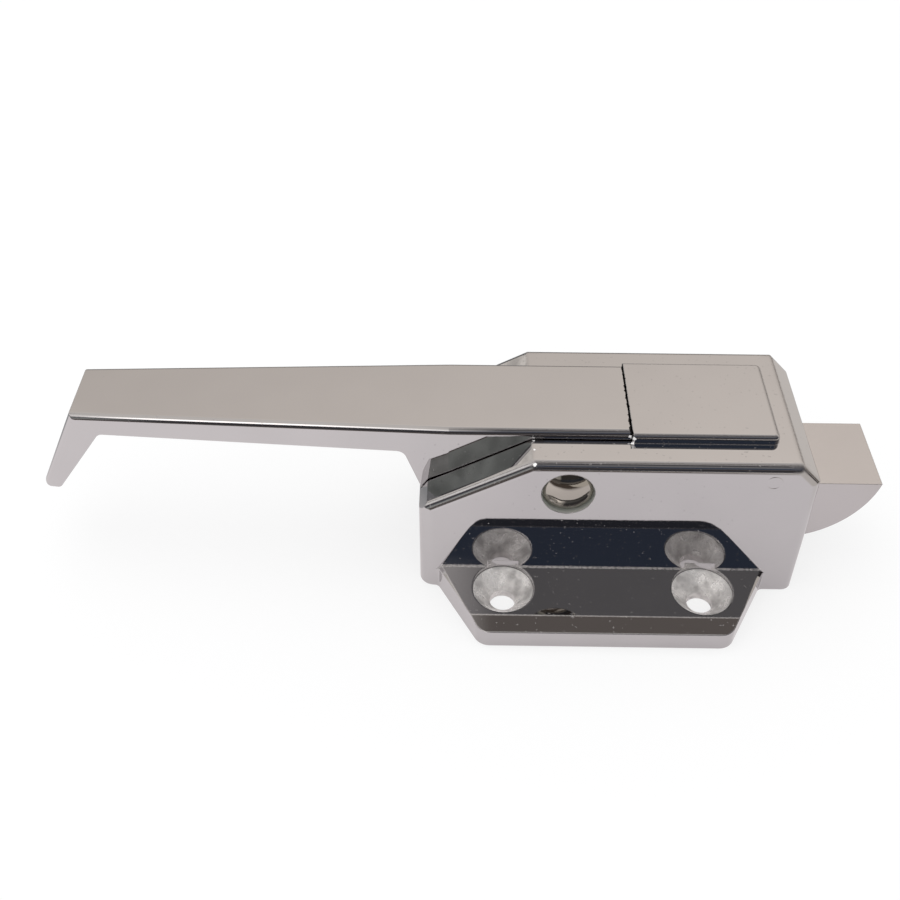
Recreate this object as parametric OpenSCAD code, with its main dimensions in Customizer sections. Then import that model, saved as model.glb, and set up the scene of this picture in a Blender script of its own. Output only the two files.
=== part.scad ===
// Lever-action latch for a freezer or cold-room door. A chromed lever turns on a cross pin in a cast
// housing and draws back a spring-loaded bolt that has one flat side and one rounded side.
// Millimetres. The origin is the middle of the four screw holes on the mounting face, +Z points out of
// the door, +X towards the bolt, and the lever lies along -X.

/* [Housing] */
// Length of the housing
body_l = 114.9; // [110:0.1:122]
// Width of the housing between its side walls
body_w = 54; // [52:0.1:58]
// Height of the flat top above the door
body_h = 51; // [50:0.1:54]
// How far the housing's middle lies ahead of the screw holes' middle
body_lead = 2.35; // [1:0.05:3]
// Thickness of the cast walls
wall = 3.2; // [2.8:0.1:3.6]
// Length of the sloping shoulder beside the lever
slope_run = 30.1; // [28:0.1:32]
// Fall of the sloping shoulder
slope_drop = 16.9; // [15.5:0.1:17.2]
// Length of the small bevel at the lever end
tail_bevel_run = 2.4; // [1.5:0.1:3]
// Fall of the small bevel at the lever end
tail_bevel_drop = 3.9; // [3:0.1:5]
// Length of the bevel above the bolt
nose_bevel_run = 6.3; // [4:0.1:8]
// Fall of the bevel above the bolt
nose_bevel_drop = 6.6; // [5:0.1:9]
// Radius of the rounded long edges
edge_r = 2.8; // [1.2:0.1:3.2]
// Radius of the edge between the bevel and the bolt end
nose_edge_r = 2; // [1:0.1:3]
// Radius of the upright corners at the lever end
tail_corner_r = 4.5; // [3:0.1:6]
// Radius of the upright corners at the bolt end
nose_corner_r = 3.5; // [1.5:0.1:4]

/* [Raised panel] */
// Length of the raised panel
panel_l = 42.3; // [38:0.1:43]
// Width of the raised panel
panel_w = 34.2; // [33.6:0.1:37]
// Height of the raised panel over the flat top
panel_rise = 2.85; // [1.5:0.05:3]
// Radius of the raised panel's corners at the bolt end
panel_r = 1.8; // [1:0.1:4]
// Radius of the raised panel's corners beside the lever
panel_lever_r = 0.8; // [0.4:0.1:1.2]
// Radius of the raised panel's rounded top edges
panel_edge_r = 1.4; // [0.6:0.1:1.8]
// Distance from the raised panel to the bevel above the bolt
panel_inset = 5.2; // [4:0.1:7]

/* [Base flanges] */
// Reach of each flange beyond the side wall
flange_reach = 23.3; // [22:0.1:27]
// Length of a flange where it meets the wall
flange_root_l = 99; // [94:0.5:104]
// Length of a flange at its outer edge
flange_tip_l = 73.4; // [66:0.1:80]
// Thickness of a flange at the wall
flange_root_t = 8.9; // [7.5:0.1:10]
// Thickness of a flange at the start of its outer bevel
flange_lip_t = 7.7; // [6.5:0.1:9]
// Thickness of a flange at its outer edge
flange_edge_t = 6; // [4.5:0.1:7]
// Width of the outer bevel
flange_bevel_w = 5.3; // [4:0.1:7]
// Radius of a flange's outer corners
flange_corner_r = 5; // [3:0.1:8]
// Eased edge along a flange's slanting ends
flange_end_ease = 1; // [0.5:0.1:1.5]
// Radius of the fillets where a flange's slanting ends meet the wall
flange_foot_r = 2; // [1:0.1:3]
// Depth of the cored pocket under each flange
flange_core_d = 4.6; // [3:0.1:5]
// Length of the cored pocket under each flange
flange_core_l = 32; // [24:0.5:34]

/* [Screw holes] */
// Distance between the holes along the housing
hole_pitch_x = 59.6; // [57:0.1:62]
// Distance between the holes across the housing
hole_pitch_y = 69.9; // [69:0.1:74]
// Diameter of the holes
hole_d = 7.8; // [6:0.1:9]
// Diameter of the countersinks
sink_d = 18.4; // [15:0.1:19]
// Depth of the countersinks' straight rim below the flange
sink_rim = 0.6; // [0.3:0.1:1]

/* [Lever] */
// Distance from the pivot to the end of the lever's flat top
lever_l = 145; // [130:0.5:160]
// Width of the lever at the housing
lever_root_w = 31.8; // [29:0.1:32]
// Width of the lever at its tip
lever_tip_w = 23; // [18:0.1:26]
// Distance from the pivot to the point where the lever starts to narrow
lever_taper_start = 34.5; // [30:0.5:45]
// Thickness of the lever at its tip
lever_tip_t = 6.8; // [5:0.1:8]
// Thickness of the lever next to the neck
lever_root_t = 8.7; // [7.5:0.1:10]
// Depth of the hooked end below the flat top
hook_drop = 29.2; // [22:0.1:34]
// How far the hooked end leans out
hook_lean = 13.8; // [8:0.1:16]
// Thickness of the hook at its root, along the lever
hook_root_t = 7.6; // [6:0.1:9]
// Thickness of the hook at its tip, along the lever
hook_tip_t = 5.4; // [4:0.1:7]
// Rise of the hook's end from its inner to its outer corner
hook_tip_rise = 0.6; // [0:0.1:2]
// Radius of the two corners at the hook's end
hook_tip_r = 1.8; // [1:0.1:2.2]
// Radius in the corner inside the hook
hook_fillet = 2.4; // [2:0.1:5]
// Radius in the corner between the neck and the underside of the lever
neck_fillet = 3; // [2:0.1:5]
// Radius of the rounded long edges of the lever's flat top
lever_edge_r = 2; // [1:0.1:2.6]
// Radius of the lever's corners at its hooked end
tip_corner_r = 2; // [1:0.1:3]
// Distance from the housing's end to the foot of the neck
neck_in = 0.4; // [0.2:0.1:1]
// Lean of the neck, from its foot to the underside of the lever
neck_lean = 5; // [4:0.1:7]
// Radius of the lever's hub around the pivot
hub_r = 10.5; // [10:0.1:11.5]
// Thickness of the lever's inner end plate
end_plate_t = 9.4; // [8:0.1:10]
// Swing of the lever, in degrees
lever_swing = 40; // [36:1:42]

/* [Pivot] */
// Distance from the pivot back to the middle of the screw holes
pivot_back = 12; // [11:0.1:13]
// Height of the pivot above the door
pivot_h = 39.9; // [39.4:0.1:40.4]
// Diameter of the pivot pin
pin_d = 10; // [8:0.1:10.5]
// Diameter of the pin's domed head
pin_head_d = 14.6; // [13.5:0.1:15]
// Thickness of the pin's domed head
pin_head_t = 2.3; // [1.5:0.1:2.4]
// Rise of the dome on the pin's head
pin_dome = 0.9; // [0.5:0.1:1.2]
// Depth of the recess around the pin's ends
pin_recess = 2.7; // [2.5:0.1:2.9]
// Outer diameter of the lever's bushes
bush_d = 14; // [13:0.1:15]
// Length of each bush
bush_l = 10; // [7:0.1:12]
// Thickness of the bushes' collars
bush_collar_t = 0.9; // [0.6:0.1:1.2]
// Diameter of the bushes' collars
bush_collar_d = 18; // [16:0.1:19]

/* [Bolt] */
// Distance that the bolt stands out of the housing
bolt_out = 23.2; // [21:0.1:26]
// Travel of the bolt when the lever is pulled
bolt_throw = 20; // [18:0.1:20.5]
// Width of the bolt
bolt_w = 27.6; // [24:0.1:28]
// Height of the bolt's flat side above the door
bolt_top_h = 32.8; // [31:0.1:33.5]
// Height of the bolt's underside above the door
bolt_low_h = 9.8; // [9.2:0.1:11]
// Radius of the bolt's rounded side
bolt_nose_r = 28.7; // [27:0.1:32]
// Height of the rounded side's axis above the flat side
bolt_nose_rise = 5.3; // [4:0.1:7]
// Thickness of the bolt's tail
bolt_tail_t = 10.4; // [9:0.1:11]
// Distance from the pivot to the bolt's shoulder
bolt_shoulder = 43; // [42:0.5:46]
// Distance from the cross pin to the end of the bolt's tail
bolt_tail_l = 14; // [12.5:0.1:15]
// Diameter of the cross pin in the bolt
drive_pin_d = 5; // [4:0.1:5.5]
// Width of the lever's fork in the bolt
fork_w = 11; // [9:0.1:12]
// Thickness of each prong of the fork
prong_t = 2.9; // [2.4:0.1:3.2]

/* [Springs] */
// Mean diameter of the two bolt springs
spring_d = 6.6; // [6:0.1:7]
// Diameter of the spring wire
wire_d = 0.8; // [0.6:0.1:0.9]
// Turns in each spring
spring_turns = 9; // [6:1:10]
// Distance from the bolt's sides to the middle of each spring
spring_inset = 3.95; // [3.9:0.05:4.2]
// Thickness of the bar that the springs push on
seat_t = 3.8; // [3:0.1:4.5]
// Length of the studs that centre the springs
stud_l = 6.5; // [4:0.1:7]
// Length of the spigots on the bolt that centre the springs
spigot_l = 2.5; // [2:0.1:3.5]

/* [Back plate] */
// Height of the plate's inner face above the door
plate_h = 6.9; // [6.5:0.1:7.2]
// Thickness of the plate
plate_t = 1.5; // [1.2:0.1:2]
// Diameter of the plate's screws
screw_d = 3.3; // [3:0.1:4]
// Diameter of the screw heads
screw_head_d = 6.6; // [6:0.1:7]
// Length of the screws below their heads
screw_l = 10; // [8:0.5:12]
// Thickness of the screw heads
screw_head_t = 2; // [1.6:0.1:2.4]
// Distance of the screws from the housing's ends
screw_inset = 8.6; // [8.2:0.1:9.5]
// Distance of the screws from the inside of the side walls
screw_wall = 3.4; // [3.2:0.1:3.6]
// Radius of the bosses that the screws go into
boss_r = 3.6; // [3.3:0.1:4]
// Length of the bosses
boss_l = 15.1; // [12.6:0.1:18]

/* [Clearances] */
// Gap beside the lever in its slot
slot_gap = 0.4; // [0.3:0.05:0.6]
// Gap around the bolt and other sliding pieces
slide_gap = 0.3; // [0.25:0.05:0.4]
// Gap between the fork and the cross pin
fork_gap = 0.35; // [0.3:0.05:0.4]
// Radial play of the bushes on the pin
run_gap = 0.05; // [0.03:0.01:0.08]
// Radial gap of pieces that are pressed or screwed together
press_gap = 0.03; // [0.02:0.01:0.05]

/* [Hidden] */
$fn = 96;
over = 1;
// A rounding's circle is this much larger than its radius, so that it crosses its faces cleanly
bite = 0.003;

// Places along X, from the lever end to the bolt's tip
tail_x = body_lead - body_l / 2;
nose_x = body_lead + body_l / 2;
pivot_x = -pivot_back;
fold_x = tail_x + tail_bevel_run + slope_run;
shoulder_x = pivot_x + bolt_shoulder;
tip_x = nose_x + bolt_out;
panel_x = nose_x - nose_bevel_run - panel_inset;

// Places across Y
half_w = body_w / 2;
inner_w = body_w - 2 * wall;
slot_w = lever_root_w + 2 * slot_gap;
rail_in = bolt_w / 2 + slide_gap;
rail_t = 3;
cheek_t = 3;
spring_y = bolt_w / 2 - spring_inset;

// Heights
top_h = body_h + panel_rise;
slope_low = body_h - slope_drop;
tail_top = slope_low - tail_bevel_drop;
neck_foot = tail_top + 1;
cheek_low = pivot_h - hub_r - 5.4;
slope_angle = atan2(slope_drop, slope_run);
nose_angle = atan2(nose_bevel_drop, nose_bevel_run);

// The lever's taper, and the height of the hook's outer side
lever_fall = (lever_root_w - lever_tip_w) / 2 / (lever_l - lever_taper_start);
hook_side_h = hook_drop - hook_tip_rise;

// The lever's fork moves the bolt through equal angles on both sides of upright
arm_tilt = lever_swing / 2;
drive_drop = bolt_throw / 2 / tan(arm_tilt);
drive_h = pivot_h - drive_drop;
drive_x = pivot_x + drive_drop * tan(arm_tilt);
tail_low = plate_h + slide_gap;
tail_high = tail_low + bolt_tail_t;
fork_half = drive_pin_d / 2 + fork_gap + prong_t;
fork_end = drive_drop / cos(arm_tilt) + drive_pin_d / 2 + fork_gap;
window_half = fork_half / cos(arm_tilt) + (tail_high - drive_h) * tan(arm_tilt) + 2 * slide_gap;
bolt_tail_x = drive_x - bolt_tail_l;

// The lever's inner end meets the raised panel and turns inside a round pocket
end_reach = panel_x - panel_l - slot_gap - pivot_x;
end_r = norm([end_reach, top_h - pivot_h]);
pocket_r = end_r + slot_gap;

// The bar that the springs push on stands against the lever end's wall
seat_x = tail_x + wall + 0.1;
spring_x = seat_x + seat_t;
spring_h = tail_low + bolt_tail_t / 2;
spring_ends = 0.15;
stud_r = spring_d / 2 - wire_d / 2 - slide_gap;

// The back plate and its four screws
screw_xs = [tail_x + screw_inset, nose_x - screw_inset];
screw_y = inner_w / 2 - screw_wall;

// The groove in the pivot pin's rear end, and the open ring in it
groove_r = pin_d / 2 - 0.8;
groove_y = half_w - pin_recess + 0.1;
groove_w = 1.1;
ring_t = 1;
ring_reach = 1.9;
ring_mouth = 0.6 * pin_d;

// A slab with a given outline in the X-Z plane, centred on Y
module side_slab(w) {
    translate([0, w / 2, 0])
        rotate([90, 0, 0])
            linear_extrude(w)
                children();
}

// A round bar along Y
module cross_bar(x, z, r, w) {
    translate([x, 0, z])
        rotate([90, 0, 0])
            cylinder(h = w, r = r, center = true);
}

// A round bar along Y from y0 to y1
module cross_peg(x, z, r, y0, y1) {
    translate([x, y1, z])
        rotate([90, 0, 0])
            cylinder(h = y1 - y0, r = r);
}

// A block given by its lowest and highest corners
module block(low, high) {
    translate(low)
        cube(high - low);
}

// A rectangle from x0 to x1 whose corners have one radius at each end
module round_ended(x0, x1, w, r0, r1) {
    for (s = [-1, 1]) {
        translate([x0 + r0, s * (w / 2 - r0)]) circle(r0);
        translate([x1 - r1, s * (w / 2 - r1)]) circle(r1);
    }
    translate([x0 + r0, -w / 2]) square([x1 - x0 - r0 - r1, w]);
    translate([x0, r0 - w / 2]) square([r0 + over, w - 2 * r0]);
    translate([x1 - r1 - over, r1 - w / 2]) square([r1 + over, w - 2 * r1]);
}

// Corner piece between an arc and two edges that run from p towards q1 and q2: added, it fills an
// inside corner, and taken away, it rounds an outside one
module corner(p, q1, q2, r) {
    d1 = (q1 - p) / norm(q1 - p);
    d2 = (q2 - p) / norm(q2 - p);
    half = acos(d1 * d2) / 2;
    bisector = (d1 + d2) / norm(d1 + d2);
    reach = r / tan(half);
    difference() {
        polygon([p + reach * d1, p + r / sin(half) * bisector, p + reach * d2, p - over * bisector]);
        translate(p + r / sin(half) * bisector) circle(r + bite);
    }
}

// Section of a cutter that rounds an edge, with the solid below and to the left of it
module edge_section(r) {
    difference() {
        translate([-r, -r]) square(3 * r);
        translate([-r, -r]) circle(r + bite);
    }
}

// Cutter that rounds a straight edge along X, with the solid at -Y and -Z of it
module round_edge(r, l) {
    rotate([90, 0, 90])
        translate([0, 0, -l / 2])
            linear_extrude(l)
                edge_section(r);
}

// Side outline of the housing, set in by a wall; the floor side stays open
function housing_outline(inset) =
    let (slope_in = inset * tan(slope_angle / 2),
         tail_in = inset * tan((90 - atan2(tail_bevel_run, tail_bevel_drop) - slope_angle) / 2),
         nose_in = inset * tan(nose_angle / 2),
         end_in = inset * tan((90 - nose_angle) / 2))
    [[tail_x + inset, 0],
     [nose_x - inset, 0],
     [nose_x - inset, body_h - nose_bevel_drop - end_in],
     [nose_x - nose_bevel_run - nose_in, body_h - inset],
     [fold_x + slope_in, body_h - inset],
     [tail_x + tail_bevel_run + inset, slope_low - inset - slope_in + tail_in / 2],
     [tail_x + inset, tail_top - inset / 4]];

// Cutter that rounds the edges between a top face and the side walls; the face passes through [x, z]
// and climbs towards +X at the given angle
module edge_cutter(x, z, angle) {
    for (s = [-1, 1])
        scale([1, s, 1])
            translate([x, half_w, z])
                rotate([0, -angle, 0])
                    round_edge(edge_r, 3 * body_l);
}

// The closed outer form of the housing
module housing_form() {
    difference() {
        intersection() {
            linear_extrude(body_h + over)
                round_ended(tail_x, nose_x, body_w, tail_corner_r, nose_corner_r);
            side_slab(body_w + 2)
                difference() {
                    polygon(housing_outline(0));
                    corner([nose_x, body_h - nose_bevel_drop], [nose_x - nose_bevel_run, body_h],
                           [nose_x, 0], nose_edge_r);
                }
        }
        edge_cutter(fold_x, body_h, 0);
        edge_cutter(fold_x, body_h, slope_angle);
        edge_cutter(nose_x - nose_bevel_run, body_h, -nose_angle);
    }
}

// Raised panel: its top edges are rounded on three sides, and the fourth side meets the lever
module panel() {
    r = min(panel_edge_r, panel_r);
    difference() {
        linear_extrude(top_h)
            round_ended(panel_x - panel_l, panel_x, panel_w, panel_lever_r, panel_r);
        for (s = [-1, 1])
            scale([1, s, 1]) {
                translate([panel_x - panel_r - panel_l, panel_w / 2, top_h])
                    round_edge(r, 2 * panel_l);
                translate([panel_x - panel_r, panel_w / 2 - panel_r, top_h])
                    rotate_extrude(angle = 90)
                        translate([panel_r, 0]) edge_section(r);
            }
        translate([panel_x, 0, top_h])
            rotate([0, 0, -90])
                round_edge(r, panel_w - 2 * panel_r);
    }
}

// Outline of one flange, from inside the wall to its outer edge
module flange_plan() {
    out = half_w + flange_reach;
    lean = atan2((flange_root_l - flange_tip_l) / 2, flange_reach);
    corner_x = flange_tip_l / 2 - flange_corner_r * tan((90 - lean) / 2);
    corner_y = out - flange_corner_r;
    side = [cos(lean), sin(lean)];
    foot_x = flange_root_l / 2 + flange_foot_r * tan((90 - lean) / 2);
    polygon([[-corner_x, out], [corner_x, out],
             [corner_x + flange_corner_r * side[0], corner_y + flange_corner_r * side[1]],
             [flange_root_l / 2, half_w], [flange_root_l / 2, half_w - wall / 2],
             [-flange_root_l / 2, half_w - wall / 2], [-flange_root_l / 2, half_w],
             [-corner_x - flange_corner_r * side[0], corner_y + flange_corner_r * side[1]]]);
    for (s = [-1, 1]) {
        translate([s * corner_x, corner_y]) circle(flange_corner_r);
        // Fillet at the wall
        difference() {
            polygon([[s * flange_root_l / 2, half_w - wall / 2], [s * foot_x, half_w - wall / 2],
                     [s * foot_x, half_w],
                     [s * (foot_x - flange_foot_r * side[0]), half_w + flange_foot_r * (1 - side[1])]]);
            translate([s * foot_x, half_w + flange_foot_r]) circle(flange_foot_r);
        }
    }
}

// One flange: its plan, under a top that falls outwards and ends in a shallow bevel
module flange() {
    out = half_w + flange_reach;
    lip = out - flange_bevel_w;
    lean = atan2((flange_root_l - flange_tip_l) / 2, flange_reach);
    difference() {
        intersection() {
            linear_extrude(flange_root_t + over) flange_plan();
            rotate([90, 0, 90])
                translate([0, 0, -flange_root_l])
                    linear_extrude(2 * flange_root_l)
                        polygon([[0, 0], [out + over, 0],
                                 [out + over, flange_edge_t - 0.3], [out - 0.4, flange_edge_t],
                                 [lip, flange_lip_t], [half_w, flange_root_t], [0, flange_root_t]]);
        }
        // The eased edges along the slanting ends
        for (s = [-1, 1])
            translate([s * flange_root_l / 2, half_w, flange_root_t])
                rotate([0, 0, s * lean])
                    rotate([90, 0, 0])
                        translate([0, 0, -2 * flange_reach])
                            linear_extrude(4 * flange_reach)
                                polygon([[-s * 2 * flange_end_ease, flange_end_ease],
                                         [s * 2 * flange_end_ease, -3 * flange_end_ease],
                                         [s * 9, -3 * flange_end_ease], [s * 9, flange_end_ease]]);
        // The cored pocket underneath
        block([-flange_core_l / 2, half_w + wall, -over],
              [flange_core_l / 2, lip, flange_core_d]);
    }
}

// Countersunk screw holes, with room for the screw heads beside the wall
module screw_holes() {
    sink_top = flange_root_t - 0.5;
    cone = (sink_d - hole_d) / 2;
    for (sx = [-1, 1], sy = [-1, 1])
        translate([sx * hole_pitch_x / 2, sy * hole_pitch_y / 2, 0]) {
            translate([0, 0, -over]) cylinder(h = flange_root_t + 2 * over, d = hole_d);
            translate([0, 0, sink_top - sink_rim - cone])
                cylinder(h = cone, d1 = hole_d, d2 = sink_d);
            translate([0, 0, sink_top - sink_rim]) cylinder(h = sink_rim + 3, d = sink_d);
        }
}

// The lever's slot: open at the lever end and round behind the lever's inner end
module lever_slot() {
    block([tail_x - over, -slot_w / 2, neck_foot - slide_gap], [pivot_x, slot_w / 2, top_h + over]);
    intersection() {
        cross_bar(pivot_x, pivot_h, pocket_r, slot_w);
        block([pivot_x - over, -slot_w, pivot_h - pocket_r], [pivot_x + 2 * pocket_r, slot_w, top_h + over]);
    }
}

// The hollow inside the housing, less the walls that stand in it
module cavity() {
    back_x = shoulder_x - bolt_throw;
    cheek_out = slot_w / 2 + cheek_t;
    rail_out = rail_in + rail_t;
    difference() {
        side_slab(inner_w)
            polygon(housing_outline(wall));
        for (s = [-1, 1])
            scale([1, s, 1]) {
                // Cheek beside the lever, and the boss that carries the pivot pin
                block([tail_x, slot_w / 2, cheek_low], [pivot_x + pocket_r + 2, cheek_out, body_h]);
                cross_peg(pivot_x, pivot_h, hub_r + 1, slot_w / 2, half_w);
                // Rails beside the bolt's tail and beside the bolt
                block([spring_x + 1, rail_in, plate_h], [nose_x, rail_out, tail_high + 2.4]);
                block([back_x, rail_in, plate_h], [nose_x, rail_out, bolt_top_h + rail_t]);
                // Rib above the bolt
                block([back_x + 2, bolt_w / 4, bolt_top_h + slide_gap],
                      [nose_x, bolt_w / 4 + rail_t, body_h]);
                // Bosses for the back plate's screws
                for (x = screw_xs)
                    translate([x, screw_y, plate_h])
                        cylinder(h = boss_l, r = boss_r);
            }
    }
}

// Housing: one casting with its flanges, panel, slot, bolt window and inner walls
module housing() {
    color([0.78, 0.78, 0.8])
    difference() {
        union() {
            housing_form();
            for (turn = [0, 180])
                rotate([0, 0, turn]) flange();
            panel();
        }
        cavity();
        lever_slot();
        screw_holes();
        // Window for the bolt
        block([nose_x - 2 * wall, -rail_in, bolt_low_h - slide_gap],
              [nose_x + over, rail_in, bolt_top_h + slide_gap]);
        // Bore and recesses for the pivot pin
        cross_bar(pivot_x, pivot_h, pin_d / 2 + press_gap, body_w + 2);
        for (s = [-1, 1])
            scale([1, s, 1])
                cross_peg(pivot_x, pivot_h, pin_head_d / 2 + slot_gap, half_w - pin_recess, half_w + over);
        // Blind holes for the back plate's screws
        for (x = screw_xs, s = [-1, 1])
            translate([x, s * screw_y, plate_h - over])
                cylinder(h = screw_l + over, d = screw_d + 2 * press_gap);
    }
}

// Side outline of the lever from its hooked end to its hub
module lever_side() {
    end_x = pivot_x - lever_l;
    foot_x = tail_x + neck_in;
    outer = [end_x - hook_lean, top_h - hook_side_h];
    inner = [end_x - hook_lean + hook_tip_t, top_h - hook_drop];
    hook_root = [end_x + hook_root_t, top_h - lever_tip_t];
    neck_top = [foot_x - neck_lean, top_h - lever_root_t];
    neck_low = [foot_x, neck_foot];
    difference() {
        union() {
            polygon([[end_x, top_h], outer, inner, hook_root, neck_top, neck_low,
                     [pivot_x, neck_foot], [pivot_x, top_h]]);
            corner(hook_root, inner, neck_top, hook_fillet);
            corner(neck_top, hook_root, neck_low, neck_fillet);
        }
        corner(outer, [end_x, top_h], inner, hook_tip_r);
        corner(inner, outer, hook_root, hook_tip_r);
    }
    translate([pivot_x, pivot_h]) circle(hub_r);
    intersection() {
        translate([pivot_x, pivot_h]) circle(end_r);
        translate([pivot_x - over, top_h - end_plate_t]) square([2 * end_r, end_plate_t]);
    }
}

// Plan of the lever: parallel at the housing, narrowing to its hooked end
module lever_plan() {
    end_x = pivot_x - lever_l - hook_lean - over;
    start_x = pivot_x - lever_taper_start;
    tip_half = lever_root_w / 2 - lever_fall * (start_x - end_x);
    polygon([[end_x, -tip_half], [start_x, -lever_root_w / 2],
             [pivot_x + 2 * end_r, -lever_root_w / 2], [pivot_x + 2 * end_r, lever_root_w / 2],
             [start_x, lever_root_w / 2], [end_x, tip_half]]);
}

// Cutter that rounds one corner of the hooked end; it leans out with the hook and follows the taper
module tip_corner(side) {
    splay = atan2(lever_fall * hook_lean, norm([hook_lean, hook_side_h]));
    translate([pivot_x - lever_l, side * lever_tip_w / 2, top_h])
        rotate([0, atan2(hook_lean, hook_side_h), 0])
            rotate([-side * splay, 0, 0])
                translate([0, 0, -2 * hook_drop])
                    linear_extrude(2 * hook_drop + 2 * tip_corner_r)
                        scale([1, -side])
                            difference() {
                                translate([-over, -over]) square(tip_corner_r + over);
                                translate([tip_corner_r, tip_corner_r]) circle(tip_corner_r);
                            }
}

// Cutter that rounds the long edges of the lever's flat top, beside the housing and along the taper
module lever_edges() {
    for (s = [-1, 1])
        scale([1, s, 1])
            translate([pivot_x - lever_taper_start, lever_root_w / 2, top_h])
                for (turn = [0, atan(lever_fall)])
                    rotate([0, 0, turn])
                        round_edge(lever_edge_r, 4 * lever_l);
}

// The arm under the hub, with the fork that holds the bolt's cross pin
module lever_arm() {
    slot_half = drive_pin_d / 2 + fork_gap;
    slot_top = drive_drop - slot_half - slide_gap;
    translate([pivot_x, 0, pivot_h])
        rotate([0, -arm_tilt, 0])
            difference() {
                block([-fork_half, -fork_w / 2, -fork_end], [fork_half, fork_w / 2, 0]);
                block([-slot_half, -fork_w, -fork_end - over], [slot_half, fork_w, -slot_top]);
            }
}

// Lever: one casting of grip, neck, hub, inner end and forked arm
module lever() {
    color([0.8, 0.8, 0.82])
    difference() {
        union() {
            intersection() {
                side_slab(lever_root_w) lever_side();
                linear_extrude(top_h + over) lever_plan();
            }
            lever_arm();
        }
        cross_bar(pivot_x, pivot_h, bush_d / 2 + press_gap, lever_root_w + 2);
        for (s = [-1, 1]) {
            scale([1, s, 1])
                cross_peg(pivot_x, pivot_h, bush_collar_d / 2 + press_gap,
                          slot_w / 2 - slot_gap / 2 - bush_collar_t - press_gap, lever_root_w);
            tip_corner(s);
        }
        lever_edges();
    }
}

// Pivot pin: a domed head in front, a grooved end behind
module pivot_pin() {
    seat_y = half_w - pin_recess;
    head_r = pin_head_d / 2;
    dome_r = (head_r * head_r + pin_dome * pin_dome) / 2 / pin_dome;
    color([0.7, 0.69, 0.68])
    difference() {
        union() {
            cross_peg(pivot_x, pivot_h, pin_d / 2, -seat_y, groove_y + groove_w + 0.7);
            intersection() {
                cross_peg(pivot_x, pivot_h, head_r, -seat_y - pin_head_t, -seat_y);
                translate([pivot_x, dome_r - seat_y - pin_head_t, pivot_h]) sphere(dome_r, $fn = 180);
            }
        }
        difference() {
            cross_peg(pivot_x, pivot_h, pin_d, groove_y, groove_y + groove_w);
            cross_bar(pivot_x, pivot_h, groove_r, 2 * body_w);
        }
    }
}

// Retaining ring in the pin's groove
module retaining_ring() {
    ring_y = groove_y + (groove_w - ring_t) / 2;
    color([0.45, 0.45, 0.46])
    difference() {
        cross_peg(pivot_x, pivot_h, pin_d / 2 + ring_reach, ring_y, ring_y + ring_t);
        cross_bar(pivot_x, pivot_h, groove_r + press_gap, 2 * body_w);
        block([pivot_x - ring_mouth / 2, 0, pivot_h - pin_d], [pivot_x + ring_mouth / 2, body_w, pivot_h]);
    }
}

// Collared bush pressed into one side of the lever's hub
module lever_bush(side) {
    collar_y = slot_w / 2 - slot_gap / 2;
    color([0.86, 0.84, 0.76])
    scale([1, side, 1])
    difference() {
        union() {
            cross_peg(pivot_x, pivot_h, bush_d / 2, collar_y - bush_l, collar_y);
            cross_peg(pivot_x, pivot_h, bush_collar_d / 2, collar_y - bush_collar_t, collar_y);
        }
        cross_bar(pivot_x, pivot_h, pin_d / 2 + run_gap, body_w);
    }
}

// Bolt: flat side out, rounded side to the door, and a windowed tail for the lever's fork
module bolt() {
    nose_axis = tip_x - sqrt(bolt_nose_r * bolt_nose_r - bolt_nose_rise * bolt_nose_rise);
    color([0.77, 0.76, 0.77])
    difference() {
        union() {
            intersection() {
                block([shoulder_x, -bolt_w / 2, bolt_low_h], [tip_x, bolt_w / 2, bolt_top_h]);
                union() {
                    cross_bar(nose_axis, bolt_top_h + bolt_nose_rise, bolt_nose_r, bolt_w + 2);
                    block([shoulder_x - over, -bolt_w, 0], [nose_axis, bolt_w, body_h]);
                }
            }
            block([bolt_tail_x, -bolt_w / 2, tail_low], [shoulder_x + 8, bolt_w / 2, tail_high]);
            // Spigots that centre the springs
            for (s = [-1, 1])
                translate([bolt_tail_x - spigot_l, s * spring_y, spring_h])
                    rotate([0, 90, 0])
                        cylinder(h = spigot_l + over, r = stud_r);
        }
        // Window for the fork, and the cross pin's hole
        block([drive_x - window_half, -fork_w / 2 - slot_gap, 0],
              [drive_x + window_half, fork_w / 2 + slot_gap, tail_high + over]);
        cross_bar(drive_x, drive_h, drive_pin_d / 2 + press_gap, bolt_w + 2);
        // Cored pocket in the underside of the body
        block([shoulder_x + 12, -bolt_w / 2 + wall, 0],
              [nose_x - wall - bolt_throw / 2, bolt_w / 2 - wall, bolt_top_h - 6.8]);
    }
}

// Steel pin across the bolt's window
module cross_pin() {
    color([0.66, 0.66, 0.67])
    cross_bar(drive_x, drive_h, drive_pin_d / 2, bolt_w - 1);
}

// Bar that the bolt's springs push on
module spring_bar() {
    color([0.62, 0.63, 0.64])
    difference() {
        block([seat_x, -rail_in + slide_gap, tail_low], [spring_x, rail_in - slide_gap, tail_high]);
        for (s = [-1, 1])
            translate([seat_x - over, s * spring_y, spring_h])
                rotate([0, 90, 0])
                    cylinder(h = seat_t + 2 * over, r = stud_r + press_gap);
    }
}

// Stud in the bar that centres one spring
module spring_stud(side) {
    color([0.68, 0.68, 0.69])
    translate([seat_x, side * spring_y, spring_h])
        rotate([0, 90, 0])
            cylinder(h = seat_t + stud_l, r = stud_r);
}

// A point on the spring wire's centre line, t going from 0 to 1 along the spring
function coil_point(t, l) =
    let (a = 360 * spring_turns * t)
    [wire_d / 2 + (l - wire_d) * t, spring_d / 2 * cos(a), spring_d / 2 * sin(a)];

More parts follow.
